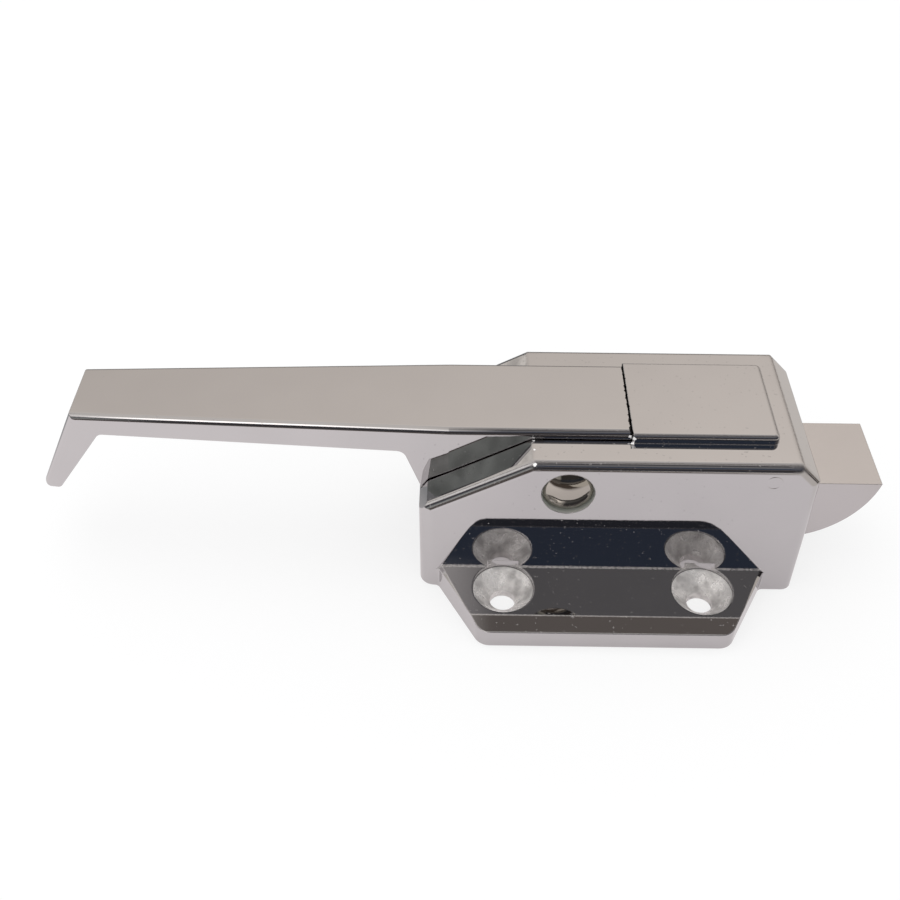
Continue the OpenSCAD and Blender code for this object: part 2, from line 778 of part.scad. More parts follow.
// Corners of the wire's section around that point
function coil_ring(t, l, sides) =
    let (a = 360 * spring_turns * t, p = coil_point(t, l))
    [for (k = [0:sides - 1])
        let (b = 360 * k / sides)
        p + wire_d / 2 * [sin(b), cos(b) * cos(a), cos(b) * sin(a)]];

// Compression spring between the bar and the bolt's tail
module bolt_spring(side) {
    l = bolt_tail_x - spring_x - 2 * spring_ends;
    sides = 8;
    rings = 12 * spring_turns;
    points = [for (i = [0:rings]) each coil_ring(i / rings, l, sides)];
    skin = [for (i = [0:rings - 1], k = [0:sides - 1])
        [i * sides + k, i * sides + (k + 1) % sides, (i + 1) * sides + (k + 1) % sides, (i + 1) * sides + k]];
    first = [for (k = [0:sides - 1]) sides - 1 - k];
    last = [for (k = [0:sides - 1]) rings * sides + k];
    color([0.6, 0.6, 0.62])
    translate([spring_x + spring_ends, side * spring_y, spring_h])
        polyhedron(points, concat(skin, [first, last]), convexity = 10);
}

// Sheet steel plate that closes the housing behind the bolt
module back_plate() {
    color([0.64, 0.65, 0.66])
    difference() {
        translate([0, 0, plate_h - plate_t])
            linear_extrude(plate_t)
                round_ended(tail_x + wall + slide_gap, nose_x - wall - slide_gap,
                            inner_w - 2 * slide_gap, 2, 2);
        for (x = screw_xs, s = [-1, 1])
            translate([x, s * screw_y, 0])
                cylinder(h = plate_h + over, d = screw_d + 2 * slide_gap);
    }
}

// Pan-head screws that hold the back plate
module back_plate_screws() {
    recess = 0.25 * screw_head_d;
    color([0.7, 0.7, 0.71])
    for (x = screw_xs, s = [-1, 1])
        translate([x, s * screw_y, plate_h - plate_t - screw_head_t])
            difference() {
                union() {
                    cylinder(h = screw_head_t, d = screw_head_d);
                    cylinder(h = screw_head_t + plate_t + screw_l - 0.5, d = screw_d);
                }
                // Cross recess
                for (turn = [0, 90])
                    rotate([0, 0, turn])
                        block([-recess, -0.4, -over], [recess, 0.4, screw_head_t - 0.9]);
            }
}

housing();
lever();
pivot_pin();
retaining_ring();
lever_bush(-1);  // lever_bush_front
lever_bush(1);  // lever_bush_rear
bolt();
cross_pin();
spring_bar();
spring_stud(-1);  // spring_stud_front
spring_stud(1);  // spring_stud_rear
bolt_spring(-1);  // bolt_spring_front
bolt_spring(1);  // bolt_spring_rear
back_plate();
back_plate_screws();
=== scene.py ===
"""Looks of a freezer door latch: chromed castings, steel pin, satin bolt, springs and a plain studio."""

from __future__ import annotations

import logging
import math
from dataclasses import dataclass, field
from enum import Enum

import bpy
from mathutils import Matrix, Vector

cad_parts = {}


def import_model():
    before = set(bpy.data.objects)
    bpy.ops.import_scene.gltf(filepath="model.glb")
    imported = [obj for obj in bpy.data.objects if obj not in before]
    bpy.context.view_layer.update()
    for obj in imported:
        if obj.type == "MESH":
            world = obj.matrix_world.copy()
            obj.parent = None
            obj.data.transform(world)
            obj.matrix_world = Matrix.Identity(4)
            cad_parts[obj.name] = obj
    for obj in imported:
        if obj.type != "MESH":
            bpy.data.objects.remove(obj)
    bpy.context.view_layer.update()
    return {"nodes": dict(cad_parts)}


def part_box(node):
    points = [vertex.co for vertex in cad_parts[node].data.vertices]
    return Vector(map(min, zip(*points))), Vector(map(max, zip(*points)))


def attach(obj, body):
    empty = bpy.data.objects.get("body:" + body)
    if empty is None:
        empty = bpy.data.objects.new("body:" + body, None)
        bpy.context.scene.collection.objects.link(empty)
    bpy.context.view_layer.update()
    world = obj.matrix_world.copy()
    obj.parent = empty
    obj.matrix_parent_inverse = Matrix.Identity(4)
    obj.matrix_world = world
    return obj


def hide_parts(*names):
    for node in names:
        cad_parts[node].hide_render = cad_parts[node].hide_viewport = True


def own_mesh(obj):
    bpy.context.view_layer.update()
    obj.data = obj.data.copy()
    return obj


MM = 0.001
LOG = logging.getLogger("latch")

Color = tuple[float, float, float]
Point = tuple[float, float, float]
Range = tuple[float, float]
Face = tuple[int, ...]
Node = bpy.types.Node
Piece = bpy.types.Object
Material = bpy.types.Material
Socket = bpy.types.NodeSocket
Number = Socket | float
Paint = Socket | Color

WHITE: Color = (1.0, 1.0, 1.0)
HALF_TURN_DEG = 180.0
# Values between which nearly all of a noise lies.
NOISE_RANGE: Range = (0.3, 0.7)
# Results of a span that falls from 1 to 0.
FALL: Range = (1.0, 0.0)


class Axis(Enum):
    """Axes of the frame: X along the latch, Y across it and Z away from the door."""

    X = "X"
    Y = "Y"
    Z = "Z"


class Blend(Enum):
    """Ways in which two colours are joined."""

    MIX = "MIX"
    MULTIPLY = "MULTIPLY"


class Side(Enum):
    """The two sides of the latch: front is the one that the photograph shows."""

    FRONT = "front"
    REAR = "rear"


class Sum(Enum):
    """Sums that a node does with one or two numbers."""

    ADD = "ADD"
    SUBTRACT = "SUBTRACT"
    MULTIPLY = "MULTIPLY"
    DIVIDE = "DIVIDE"
    MAXIMUM = "MAXIMUM"
    LESS_THAN = "LESS_THAN"
    GREATER_THAN = "GREATER_THAN"
    ABSOLUTE = "ABSOLUTE"
    SQRT = "SQRT"
    ARCTAN2 = "ARCTAN2"


def scaled(values: tuple[float, ...], factor: float) -> tuple[float, ...]:
    """Multiplies each of some numbers by one factor."""
    return tuple(value * factor for value in values)


def metres(lengths_mm: tuple[float, ...]) -> tuple[float, ...]:
    """Turns lengths in millimetres into metres."""
    return scaled(lengths_mm, MM)


class NodeTree:
    """Short calls that grow one material's or world's node tree.

    Attributes:
        tree: The tree that is grown.
    """

    def __init__(self, tree: bpy.types.NodeTree) -> None:
        """Keeps the tree that is grown."""
        self.tree = tree

    def add(self, kind: str, **values: str | bool | int) -> Node:
        """Adds a node and sets its own properties.

        Args:
            kind: Blender's name of the node's type.
            **values: Properties of the node.

        Returns:
            The new node.
        """
        node = self.tree.nodes.new(kind)
        for name, value in values.items():
            setattr(node, name, value)
        return node

    def feed(self, slot: Socket, value: Number | Color) -> None:
        """Sets an input to a plain number or colour, or links a socket to it.

        Args:
            slot: The input.
            value: A number, a colour or a socket.
        """
        if isinstance(value, (int, float)):
            slot.default_value = value
        elif isinstance(value, tuple):
            slot.default_value = (*value, 1.0)
        else:
            self.tree.links.new(value, slot)

    def math(self, how: Sum, *values: Number, clamp: bool = False) -> Socket:
        """Adds a sum of sockets and plain numbers.

        Args:
            how: The sum.
            *values: Sockets or numbers, in order.
            clamp: Whether the result is kept between 0 and 1.

        Returns:
            The result's socket.
        """
        node = self.add("ShaderNodeMath", operation=how.value, use_clamp=clamp)
        for slot, value in zip(node.inputs, values):
            self.feed(slot, value)
        return node.outputs[0]

    def product(self, first: Number, *others: Number) -> Socket:
        """Multiplies numbers with each other.

        Args:
            first: A socket or a number.
            *others: Sockets or numbers.

        Returns:
            The product's socket.
        """
        for other in others:
            first = self.math(Sum.MULTIPLY, first, other)
        return first

    def largest(self, values: list[Socket]) -> Socket:
        """Picks the largest of some numbers, which joins masks into one.

        Args:
            values: The numbers' sockets, at least one.

        Returns:
            The largest number's socket.
        """
        result = values[0]
        for value in values[1:]:
            result = self.math(Sum.MAXIMUM, result, value)
        return result

    def hypotenuse(self, first: Socket, second: Socket) -> Socket:
        """Gives the root of the sum of two squares."""
        squares = [self.product(side, side) for side in (first, second)]
        return self.math(Sum.SQRT, self.math(Sum.ADD, *squares))

    def span(self, value: Socket, start: Range, result: Range = (0.0, 1.0), smooth: bool = False) -> Socket:
        """Maps one range of a number onto another.

        Args:
            value: The number.
            start: The two ends of its range.
            result: Results at those two ends.
            smooth: Whether the change starts and ends softly.

        Returns:
            The result's socket.
        """
        node = self.add("ShaderNodeMapRange", interpolation_type="SMOOTHSTEP" if smooth else "LINEAR")
        for name, number in zip(("From Min", "From Max", "To Min", "To Max"), (*start, *result)):
            node.inputs[name].default_value = number
        self.feed(node.inputs["Value"], value)
        return node.outputs["Result"]

    def mix(self, share: Number, first: Paint, second: Paint, how: Blend = Blend.MIX) -> Socket:
        """Joins two colours.

        Args:
            share: How much of the second colour.
            first: A socket or a colour.
            second: A socket or a colour.
            how: The way they are joined.

        Returns:
            The result's socket.
        """
        node = self.add("ShaderNodeMix", data_type="RGBA", blend_type=how.value)
        for slot, value in ((node.inputs[0], share), (node.inputs[6], first), (node.inputs[7], second)):
            self.feed(slot, value)
        return node.outputs[2]

    def blend(self, share: Socket, first: Number, second: Number) -> Socket:
        """Joins two numbers.

        Args:
            share: How much of the second number, from 0 to 1.
            first: A socket or a number.
            second: A socket or a number.

        Returns:
            The result's socket.
        """
        node = self.add("ShaderNodeMix", data_type="FLOAT")
        for slot, value in ((node.inputs[0], share), (node.inputs[2], first), (node.inputs[3], second)):
            self.feed(slot, value)
        return node.outputs[0]

    def split(self, vector: Socket) -> bpy.types.NodeOutputs:
        """Splits a vector into its numbers.

        Args:
            vector: The vector's socket.

        Returns:
            The node's outputs, named X, Y and Z.
        """
        parts = self.add("ShaderNodeSeparateXYZ")
        self.feed(parts.inputs[0], vector)
        return parts.outputs


class Surface(NodeTree):
    """A new material as it grows: its node tree and what its shader gets in the end.

    Attributes:
        material: The material.
        where: Coordinates on the object, in metres.
        color: Colour so far.
        rough: Roughness so far.
        mirror: How metallic it is so far.
        normal: Normal so far, or None where it is plain.
    """

    def __init__(self, name: str) -> None:
        """Makes the material.

        Args:
            name: Its name.
        """
        self.material = bpy.data.materials.new(name)
        self.material.use_nodes = True
        super().__init__(self.material.node_tree)
        self.where = self.add("ShaderNodeTexCoord").outputs["Object"]
        self.color: Paint = WHITE
        self.rough: Number = 0.5
        self.mirror: Number = 0.0
        self.normal: Socket | None = None

    def noise(self, size_mm: float, detail: float = 2.0) -> Socket:
        """Adds a noise whose blobs have a size in millimetres.

        Args:
            size_mm: Size of the blobs.
            detail: Octaves.

        Returns:
            The noise's value, about 0.5.
        """
        node = self.add("ShaderNodeTexNoise")
        node.inputs["Scale"].default_value = 1.0 / (size_mm * MM)
        node.inputs["Detail"].default_value = detail
        self.feed(node.inputs["Vector"], self.where)
        return node.outputs[0]

    def emboss(self, height: Socket, relief: Relief) -> None:
        """Adds a texture to the normal."""
        self.bump(height, relief.depth_mm, relief.strength)

    def bump(self, height: Socket, depth_mm: float, strength: float) -> None:
        """Adds a bump to the normal.

        Args:
            height: Height, from 0 to 1.
            depth_mm: Height that 1 stands for.
            strength: Strength of the bump.
        """
        node = self.add("ShaderNodeBump")
        node.inputs["Strength"].default_value = strength
        node.inputs["Distance"].default_value = depth_mm * MM
        self.feed(node.inputs["Height"], height)
        if self.normal is not None:
            self.feed(node.inputs["Normal"], self.normal)
        self.normal = node.outputs["Normal"]

    def round_edges(self, radius: Number, samples: int = 6) -> None:
        """Rounds the normal at sharp edges.

        Args:
            radius: Radius of the rounding in metres.
            samples: Rays that look for edges.
        """
        node = self.add("ShaderNodeBevel", samples=samples)
        self.feed(node.inputs["Radius"], radius)
        self.normal = node.outputs[0]

    def cover(self, mask: Socket, color: Paint, rough: Number, mirror: float | None = None) -> None:
        """Gives a part of the surface another look.

        Args:
            mask: 1 on that part and 0 elsewhere.
            color: Its colour.
            rough: Its roughness.
            mirror: How metallic it is, or None where that stays.
        """
        self.color = self.mix(mask, self.color, color)
        self.rough = self.blend(mask, self.rough, rough)
        if mirror is not None:
            self.mirror = self.blend(mask, self.mirror, mirror)

    def off_line(self, point_mm: Point, along: Axis) -> Socket:
        """Measures the distance from a line through a point.

        Args:
            point_mm: A point on the line.
            along: Axis that the line follows.

        Returns:
            The distance in metres.
        """
        parts = self.split(self.where)
        steps = [self.math(Sum.SUBTRACT, parts[axis.value], value * MM)
                 for axis, value in zip(Axis, point_mm) if axis is not along]
        return self.hypotenuse(*steps)

    def off_point(self, point_mm: Point) -> Socket:
        """Measures the distance from a point.

        Args:
            point_mm: The point.

        Returns:
            The distance in metres.
        """
        node = self.add("ShaderNodeVectorMath", operation="DISTANCE")
        self.feed(node.inputs[0], self.where)
        node.inputs[1].default_value = metres(point_mm)
        return node.outputs["Value"]

    def close(self) -> Material:
        """Gives the shader what has been gathered.

        Returns:
            The material.
        """
        inputs = self.tree.nodes["Principled BSDF"].inputs
        self.feed(inputs["Base Color"], self.color)
        self.feed(inputs["Roughness"], self.rough)
        self.feed(inputs["Metallic"], self.mirror)
        if self.normal is not None:
            self.feed(inputs["Normal"], self.normal)
        return self.material


class Detail:
    """Something that one metal surface has and a plain one hasn't."""

    def add_to(self, surface: Surface) -> None:
        """Changes what the surface's shader gets, in each detail's own way."""
        raise NotImplementedError


@dataclass(frozen=True)
class Relief:
    """A texture that stands out of a surface.

    Attributes:
        size_mm: Size of its blobs.
        depth_mm: Their height at full strength.
        strength: Strength, from 0 to 1.
    """

    size_mm: float
    depth_mm: float
    strength: float


@dataclass(frozen=True)
class Pits(Detail):
    """Small pits in the plating.

    Attributes:
        strength: Strength of the pits.
        size_mm: Size of the noise that they come from.
        noise: Values of that noise at a pit's rim and in the pit.
        depth_mm: Depth of a pit.
        rough: Roughness of a pit at full strength.
    """

    strength: float
    size_mm: float = 0.9
    noise: Range = (0.8, 0.82)
    depth_mm: float = 0.05
    rough: float = 0.4

    def add_to(self, surface: Surface) -> None:
        """Sinks the pits and dulls them.

        Args:
            surface: The surface that gets them.
        """
        pits = surface.span(surface.noise(self.size_mm, detail=0.0), self.noise)
        surface.bump(pits, -self.depth_mm, self.strength)
        dull = surface.product(pits, self.rough * self.strength)
        surface.rough = surface.math(Sum.MAXIMUM, surface.rough, dull)


@dataclass(frozen=True)
class RaggedGapShade(Detail):
    """Painted shade: a dark ragged edge along the gap between lever and panel.

    Attributes:
        x_mm: Place of the gap along the latch.
        over_mm: Height over which its edge is ragged.
        size_mm: Size of the teeth.
        noise: Values of the noise where the edge is narrowest and widest.
        width_mm: Width of the edge there, on each side of the gap.
        color: Linear colour of the painted shade.
        rough: Roughness of the edge.
    """

    x_mm: float = 5.8
    over_mm: float = 52.0
    size_mm: float = 1.6
    noise: Range = (0.42, 0.7)
    width_mm: Range = (0.12, 0.62)
    color: Color = (0.025, 0.024, 0.024)
    rough: float = 0.5

    def add_to(self, surface: Surface) -> None:
        """Darkens the edge with painted shade.

        Args:
            surface: The surface that gets it.
        """
        parts = surface.split(surface.where)
        off = surface.math(Sum.ABSOLUTE, surface.math(Sum.SUBTRACT, parts["X"], self.x_mm * MM))
        width = surface.span(surface.noise(self.size_mm, detail=4.0), self.noise, metres(self.width_mm))
        near = surface.math(Sum.LESS_THAN, off, width)
        high = surface.math(Sum.GREATER_THAN, parts["Z"], self.over_mm * MM)
        surface.cover(surface.product(near, high), self.color, self.rough)


@dataclass(frozen=True)
class PinRecess(Detail):
    """The dull bore and floor of the recess that the pin's head lies in.

    Attributes:
        mouth_mm: Middle of its mouth in the front wall.
        radius_mm: Radius of the bore.
        spare_mm: How far beyond that radius the dull surface may lie.
        depth_mm: Where the dull stretch starts and ends, inwards from the mouth.
        color: Linear colour.
        rough: Roughness.
        mirror: How metallic it is.
    """

    mouth_mm: Point = (-12.0, -27.0, 39.9)
    radius_mm: float = 7.45
    spare_mm: float = 0.3
    depth_mm: Range = (0.15, 4.0)
    color: Color = (0.6, 0.61, 0.57)
    rough: float = 0.3
    mirror: float = 0.3

    def add_to(self, surface: Surface) -> None:
        """Dulls the recess.

        Args:
            surface: The surface that has it.
        """
        across = surface.split(surface.where)["Y"]
        start, end = ((self.mouth_mm[1] + depth) * MM for depth in self.depth_mm)
        deep = surface.math(Sum.GREATER_THAN, across, start)
        shallow = surface.math(Sum.LESS_THAN, across, end)
        off = surface.off_line(self.mouth_mm, Axis.Y)
        near = surface.math(Sum.LESS_THAN, off, (self.radius_mm + self.spare_mm) * MM)
        surface.cover(surface.product(deep, shallow, near), self.color, self.rough, self.mirror)


@dataclass(frozen=True)
class PaintedGlint:
    """One painted glint: a white spot that stands in for a highlight.

    Attributes:
        middle_mm: Its middle.
        radius_mm: Its radius.
    """

    middle_mm: Point
    radius_mm: float


@dataclass(frozen=True)
class PaintedGlints(Detail):
    """Painted glints at a few corners: white, matt spots that stand in for highlights.

    Attributes:
        glints: The painted glints.
        size_mm: Size of the notches in their rims.
        ragged: Shares of its radius that a glint reaches where it is smallest and largest.
        color: Linear colour of the painted glints.
        rough: Roughness of the painted glints.
    """

    glints: tuple[PaintedGlint, ...]
    size_mm: float = 0.6
    ragged: Range = (0.55, 1.25)
    color: Color = (0.97, 0.96, 0.95)
    rough: float = 0.7

    def add_to(self, surface: Surface) -> None:
        """Paints the glints, and takes the mirror away there.

        Args:
            surface: The surface that gets the painted glints.
        """
        ragged = surface.span(surface.noise(self.size_mm, detail=3.0), NOISE_RANGE, self.ragged)
        masks = []
        for glint in self.glints:
            reach = surface.product(ragged, glint.radius_mm * MM)
            masks.append(surface.math(Sum.LESS_THAN, surface.off_point(glint.middle_mm), reach))
        surface.cover(surface.largest(masks), self.color, self.rough, mirror=0.0)


@dataclass(frozen=True)
class PaintedHighlightLine(Detail):
    """A speckled bright line along both flanges: a painted highlight.

    Attributes:
        off_mm: Its distance from the middle of the latch.
        height_mm: Its height.
        radius_mm: Distance from the line at which it has faded away.
        strength: Its strength, from 0 to 1.
        core: Share of the radius within which it doesn't fade.
        end_mm: Distance from the middle of the housing at which it ends.
        speck_mm: Size of the specks.
        noise: Values of the noise between the specks and in them.
        faint: Share of its strength that the line has between the specks.
        color: Linear colour of the painted highlight.
        rough: Roughness.
    """

    off_mm: float
    height_mm: float
    radius_mm: float
    strength: float
    core: float = 0.35
    end_mm: float = 48.6
    speck_mm: float = 0.7
    noise: Range = (0.4, 0.6)
    faint: float = 0.45
    color: Color = (0.86, 0.84, 0.83)
    rough: float = 0.6

    def add_to(self, surface: Surface) -> None:
        """Paints the highlight line.

        Args:
            surface: The surface that gets it.
        """
        parts = surface.split(surface.where)
        out = surface.math(Sum.SUBTRACT, surface.math(Sum.ABSOLUTE, parts["Y"]), self.off_mm * MM)
        up = surface.math(Sum.SUBTRACT, parts["Z"], self.height_mm * MM)
        fade = metres((self.core * self.radius_mm, self.radius_mm))
        line = surface.span(surface.hypotenuse(out, up), fade, FALL, smooth=True)
        strengths = (self.faint * self.strength, self.strength)
        speck = surface.span(surface.noise(self.speck_mm), self.noise, strengths)
        near = surface.math(Sum.LESS_THAN, surface.math(Sum.ABSOLUTE, parts["X"]), self.end_mm * MM)
        surface.cover(surface.product(line, speck, near), self.color, self.rough)


@dataclass(frozen=True)
class CastSkin(Detail):
    """The casting's own skin inside the countersinks: rough, pale, sandy and blotched.

    Attributes:
        sinks_mm: Middles of the countersinks, seen from above.
        radius_mm: Radius within which the skin is left.
        rim_mm: Width over which it gives way to the chrome.
        under_mm: Height under which it is left.
        sand: Its grains.
        blotch: Its blotches.
        rough_noise: Values of the blotches where the skin is smoothest and roughest.
        rough: Roughness there.
        color_noise: Values of the blotches where the skin is palest and darkest.
        pale: Linear colour where it is palest.
        dark: Linear colour where it is darkest.
        mirror: How metallic it is.
    """

    sinks_mm: tuple[Range, ...]
    radius_mm: float = 9.12
    rim_mm: float = 0.15
    under_mm: float = 8.85
    sand: Relief = Relief(0.45, 0.3, 0.9)
    blotch: Relief = Relief(4.5, 1.6, 0.5)
    rough_noise: Range = (0.35, 0.65)
    rough: Range = (0.2, 0.45)
    color_noise: Range = (0.4, 0.66)
    pale: Color = (0.96, 0.93, 0.91)
    dark: Color = (0.55, 0.53, 0.52)
    mirror: float = 0.4

    def inside(self, surface: Surface) -> Socket:
        """Marks the insides of the countersinks.

        Args:
            surface: The surface that has them.

        Returns:
            1 inside and 0 outside.
        """
        rim = metres((self.radius_mm - self.rim_mm, self.radius_mm))
        masks = [surface.span(surface.off_line((x, y, 0.0), Axis.Z), rim, FALL) for x, y in self.sinks_mm]
        low = surface.math(Sum.LESS_THAN, surface.split(surface.where)["Z"], self.under_mm * MM)
        return surface.product(surface.largest(masks), low)

    def add_to(self, surface: Surface) -> None:
        """Leaves the skin inside the countersinks.

        Args:
            surface: The surface that gets it.
        """
        inside = self.inside(surface)
        sand = surface.noise(self.sand.size_mm, detail=4.0)
        blotch = surface.noise(self.blotch.size_mm)
        color = surface.mix(surface.span(blotch, self.color_noise), self.pale, self.dark)
        surface.cover(inside, color, surface.span(blotch, self.rough_noise, self.rough), self.mirror)
        surface.emboss(surface.product(sand, inside), self.sand)
        surface.emboss(surface.product(blotch, inside), self.blotch)


@dataclass(frozen=True)
class EjectorMark(Detail):
    """The round mark that an ejector left on the front wall.

    Attributes:
        middle_mm: Its middle.
        radius_mm: Its radius.
        ridge_mm: How far its ridge reaches on each side of that radius.
        height_mm: Height of the ridge.
    """

    middle_mm: Point = (46.0, -27.0, 45.2)
    radius_mm: float = 2.2
    ridge_mm: float = 0.5
    height_mm: float = 0.1

    def add_to(self, surface: Surface) -> None:
        """Raises the ridge.

        Args:
            surface: The surface that gets it.
        """
        off = surface.math(Sum.SUBTRACT, surface.off_line(self.middle_mm, Axis.Y), self.radius_mm * MM)
        off = surface.math(Sum.ABSOLUTE, off)
        ridge = surface.span(off, (0.0, self.ridge_mm * MM), FALL, smooth=True)
        surface.bump(ridge, self.height_mm, 1.0)


@dataclass(frozen=True)
class Fold:
    """A fold across the top of a casting that polishing has rounded more than other edges.

    Attributes:
        x_mm: Its place along the latch.
        z_mm: Its height.
        radius_mm: Its radius.
        fade: Distances from the fold, in radii, between which it gives way to the other edges.
    """

    x_mm: float
    z_mm: float
    radius_mm: float
    fade: Range = (1.5, 2.0)


@dataclass(frozen=True)
class Finish:
    """A surface that several pieces can share.

    Attributes:
        name: Name of its material.
    """

    name: str

    def material(self) -> Material:
        """Returns the finish's material, built on the first call."""
        return bpy.data.materials.get(self.name) or self.build()

    def build(self) -> Material:
        """Builds the material, in each finish's own way."""
        raise NotImplementedError


@dataclass(frozen=True)
class MetalFinish(Finish):
    """A plated or plain metal surface.

    Attributes:
        color: Linear colour of the metal.
        roughness: Mean roughness.
        spread: Least and greatest roughness, as shares of the mean.
        ripple: Slow waves that polishing leaves.
        grain: Fine texture.
        tint: How much darker the metal's dull places are.
        edge_mm: Radius to which polishing has worn the sharp edges.
        folds: Folds that are rounder than that.
        details: What else the surface has, in the order in which it is laid on.
    """

    color: Color
    roughness: float
    spread: Range = (0.8, 1.25)
    ripple: Relief = Relief(16.0, 1.0, 0.03)
    grain: Relief = Relief(0.5, 0.1, 0.03)
    tint: float = 0.06
    edge_mm: float = 0.25
    folds: tuple[Fold, ...] = ()
    details: tuple[Detail, ...] = ()

    def build(self) -> Material:
        """Builds the metal and lays its details on.

        Returns:
            The material.
        """
        surface = Surface(self.name)
        waves = surface.noise(self.ripple.size_mm, detail=1.0)
        grain = surface.noise(self.grain.size_mm, detail=3.0)
        surface.color = surface.mix(waves, self.color, scaled(self.color, 1.0 - self.tint))
        surface.rough = surface.span(grain, NOISE_RANGE, scaled(self.spread, self.roughness))
        surface.mirror = 1.0
        surface.round_edges(self.edge_radius(surface))
        surface.emboss(waves, self.ripple)
        surface.emboss(grain, self.grain)
        for detail in self.details:
            detail.add_to(surface)
        return surface.close()

    def edge_radius(self, surface: Surface) -> Number:
        """Works out the radius of the worn edges.

        Args:
            surface: The surface that has them.

        Returns:
            The radius in metres, a socket where there are folds.
        """
        radius: Number = self.edge_mm * MM
        for fold in self.folds:
            off = surface.off_line((fold.x_mm, 0.0, fold.z_mm), Axis.Y)
            fold_radius = fold.radius_mm * MM
            near = surface.span(off, scaled(fold.fade, fold_radius), FALL)
            radius = surface.blend(near, radius, fold_radius)
        return radius


@dataclass(frozen=True)
class NylonFinish(Finish):
    """Natural nylon.

    Attributes:
        name: Name of its material.
        color: Linear colour.
        dull: Share of that colour that its dull places have.
        roughness: Mean roughness of the moulded surface.
        spread: Least and greatest roughness, as shares of the mean.
        cloud_mm: Size of its clouds.
        grain: Fine texture.
    """

    name: str = "natural_nylon"
    color: Color = (0.8, 0.77, 0.68)
    dull: float = 0.93
    roughness: float = 0.4
    spread: Range = (0.9, 1.1)
    cloud_mm: float = 4.0
    grain: Relief = Relief(0.3, 0.02, 0.4)

    def build(self) -> Material:
        """Builds the nylon.

        Returns:
            The material.
        """
        surface = Surface(self.name)
        cloud = surface.noise(self.cloud_mm)
        surface.color = surface.mix(cloud, self.color, scaled(self.color, self.dull))
        surface.rough = surface.span(cloud, NOISE_RANGE, scaled(self.spread, self.roughness))
        surface.emboss(surface.noise(self.grain.size_mm), self.grain)
        return surface.close()


# Half the distances between the screw holes, along and across the latch.
HOLE_X_MM = 29.8
HOLE_Y_MM = 34.95
SCREW_HOLES_MM = tuple((x, y) for x in (-HOLE_X_MM, HOLE_X_MM) for y in (-HOLE_Y_MM, HOLE_Y_MM))

# Painted glints: white, matt spots at the fold and beside the gap that stand in for highlights.
HOUSING_PAINTED_GLINTS = PaintedGlints((
    PaintedGlint((-22.1, -16.3, 51.0), 0.5),
    PaintedGlint((-22.0, -20.3, 51.0), 0.35),
    PaintedGlint((-22.0, -25.9, 50.4), 0.55),
    PaintedGlint((6.5, -17.1, 52.6), 0.6),
    PaintedGlint((6.1, -17.2, 51.1), 0.5),
))
# Painted glint on the lever beside the gap.
LEVER_PAINTED_GLINTS = PaintedGlints((PaintedGlint((5.4, -15.9, 52.4), 0.5),))
# Painted highlights: a speckled bright line at the foot of the wall and a fainter one at the flanges' edge.
FLANGE_FOOT_HIGHLIGHT = PaintedHighlightLine(off_mm=27.0, height_mm=8.9, radius_mm=0.75, strength=0.95)
FLANGE_EDGE_HIGHLIGHT = PaintedHighlightLine(off_mm=45.0, height_mm=7.72, radius_mm=0.4, strength=0.4)
BOLT_END_FOLD = Fold(x_mm=53.5, z_mm=51.0, radius_mm=1.8)
LEVER_END_FOLD = Fold(x_mm=-21.5, z_mm=51.0, radius_mm=1.4)

CHROME: Color = (0.53, 0.52, 0.525)
CAST_RIPPLE = Relief(16.0, 1.0, 0.02)
CAST_GRAIN = Relief(0.5, 0.1, 0.01)
HOUSING_CHROME = MetalFinish(
    "cast_chrome_housing", CHROME, 0.03, ripple=CAST_RIPPLE, grain=CAST_GRAIN, edge_mm=0.45,
    folds=(BOLT_END_FOLD, LEVER_END_FOLD),
    details=(Pits(0.5), RaggedGapShade(), PinRecess(), HOUSING_PAINTED_GLINTS, FLANGE_FOOT_HIGHLIGHT, FLANGE_EDGE_HIGHLIGHT,
             CastSkin(SCREW_HOLES_MM), EjectorMark()),
)
LEVER_CHROME = MetalFinish(
    "cast_chrome_lever", CHROME, 0.03, ripple=CAST_RIPPLE, grain=CAST_GRAIN, edge_mm=0.3,
    details=(Pits(0.3), RaggedGapShade(), LEVER_PAINTED_GLINTS),
)
BOLT_CHROME = MetalFinish("satin_chrome_bolt", (0.55, 0.53, 0.53), 0.2, grain=Relief(0.5, 0.1, 0.06))
PIN_STEEL = MetalFinish("polished_pin", (0.42, 0.395, 0.355), 0.07, ripple=Relief(5.0, 1.0, 0.12))
DARK_STEEL = MetalFinish("black_ring", (0.2, 0.2, 0.21), 0.35)
ZINC_STEEL = MetalFinish("zinc_plate", (0.55, 0.56, 0.58), 0.3, grain=Relief(0.5, 0.1, 0.15))
SPRING_STEEL = MetalFinish("spring_wire", (0.45, 0.45, 0.47), 0.25)
NYLON = NylonFinish()


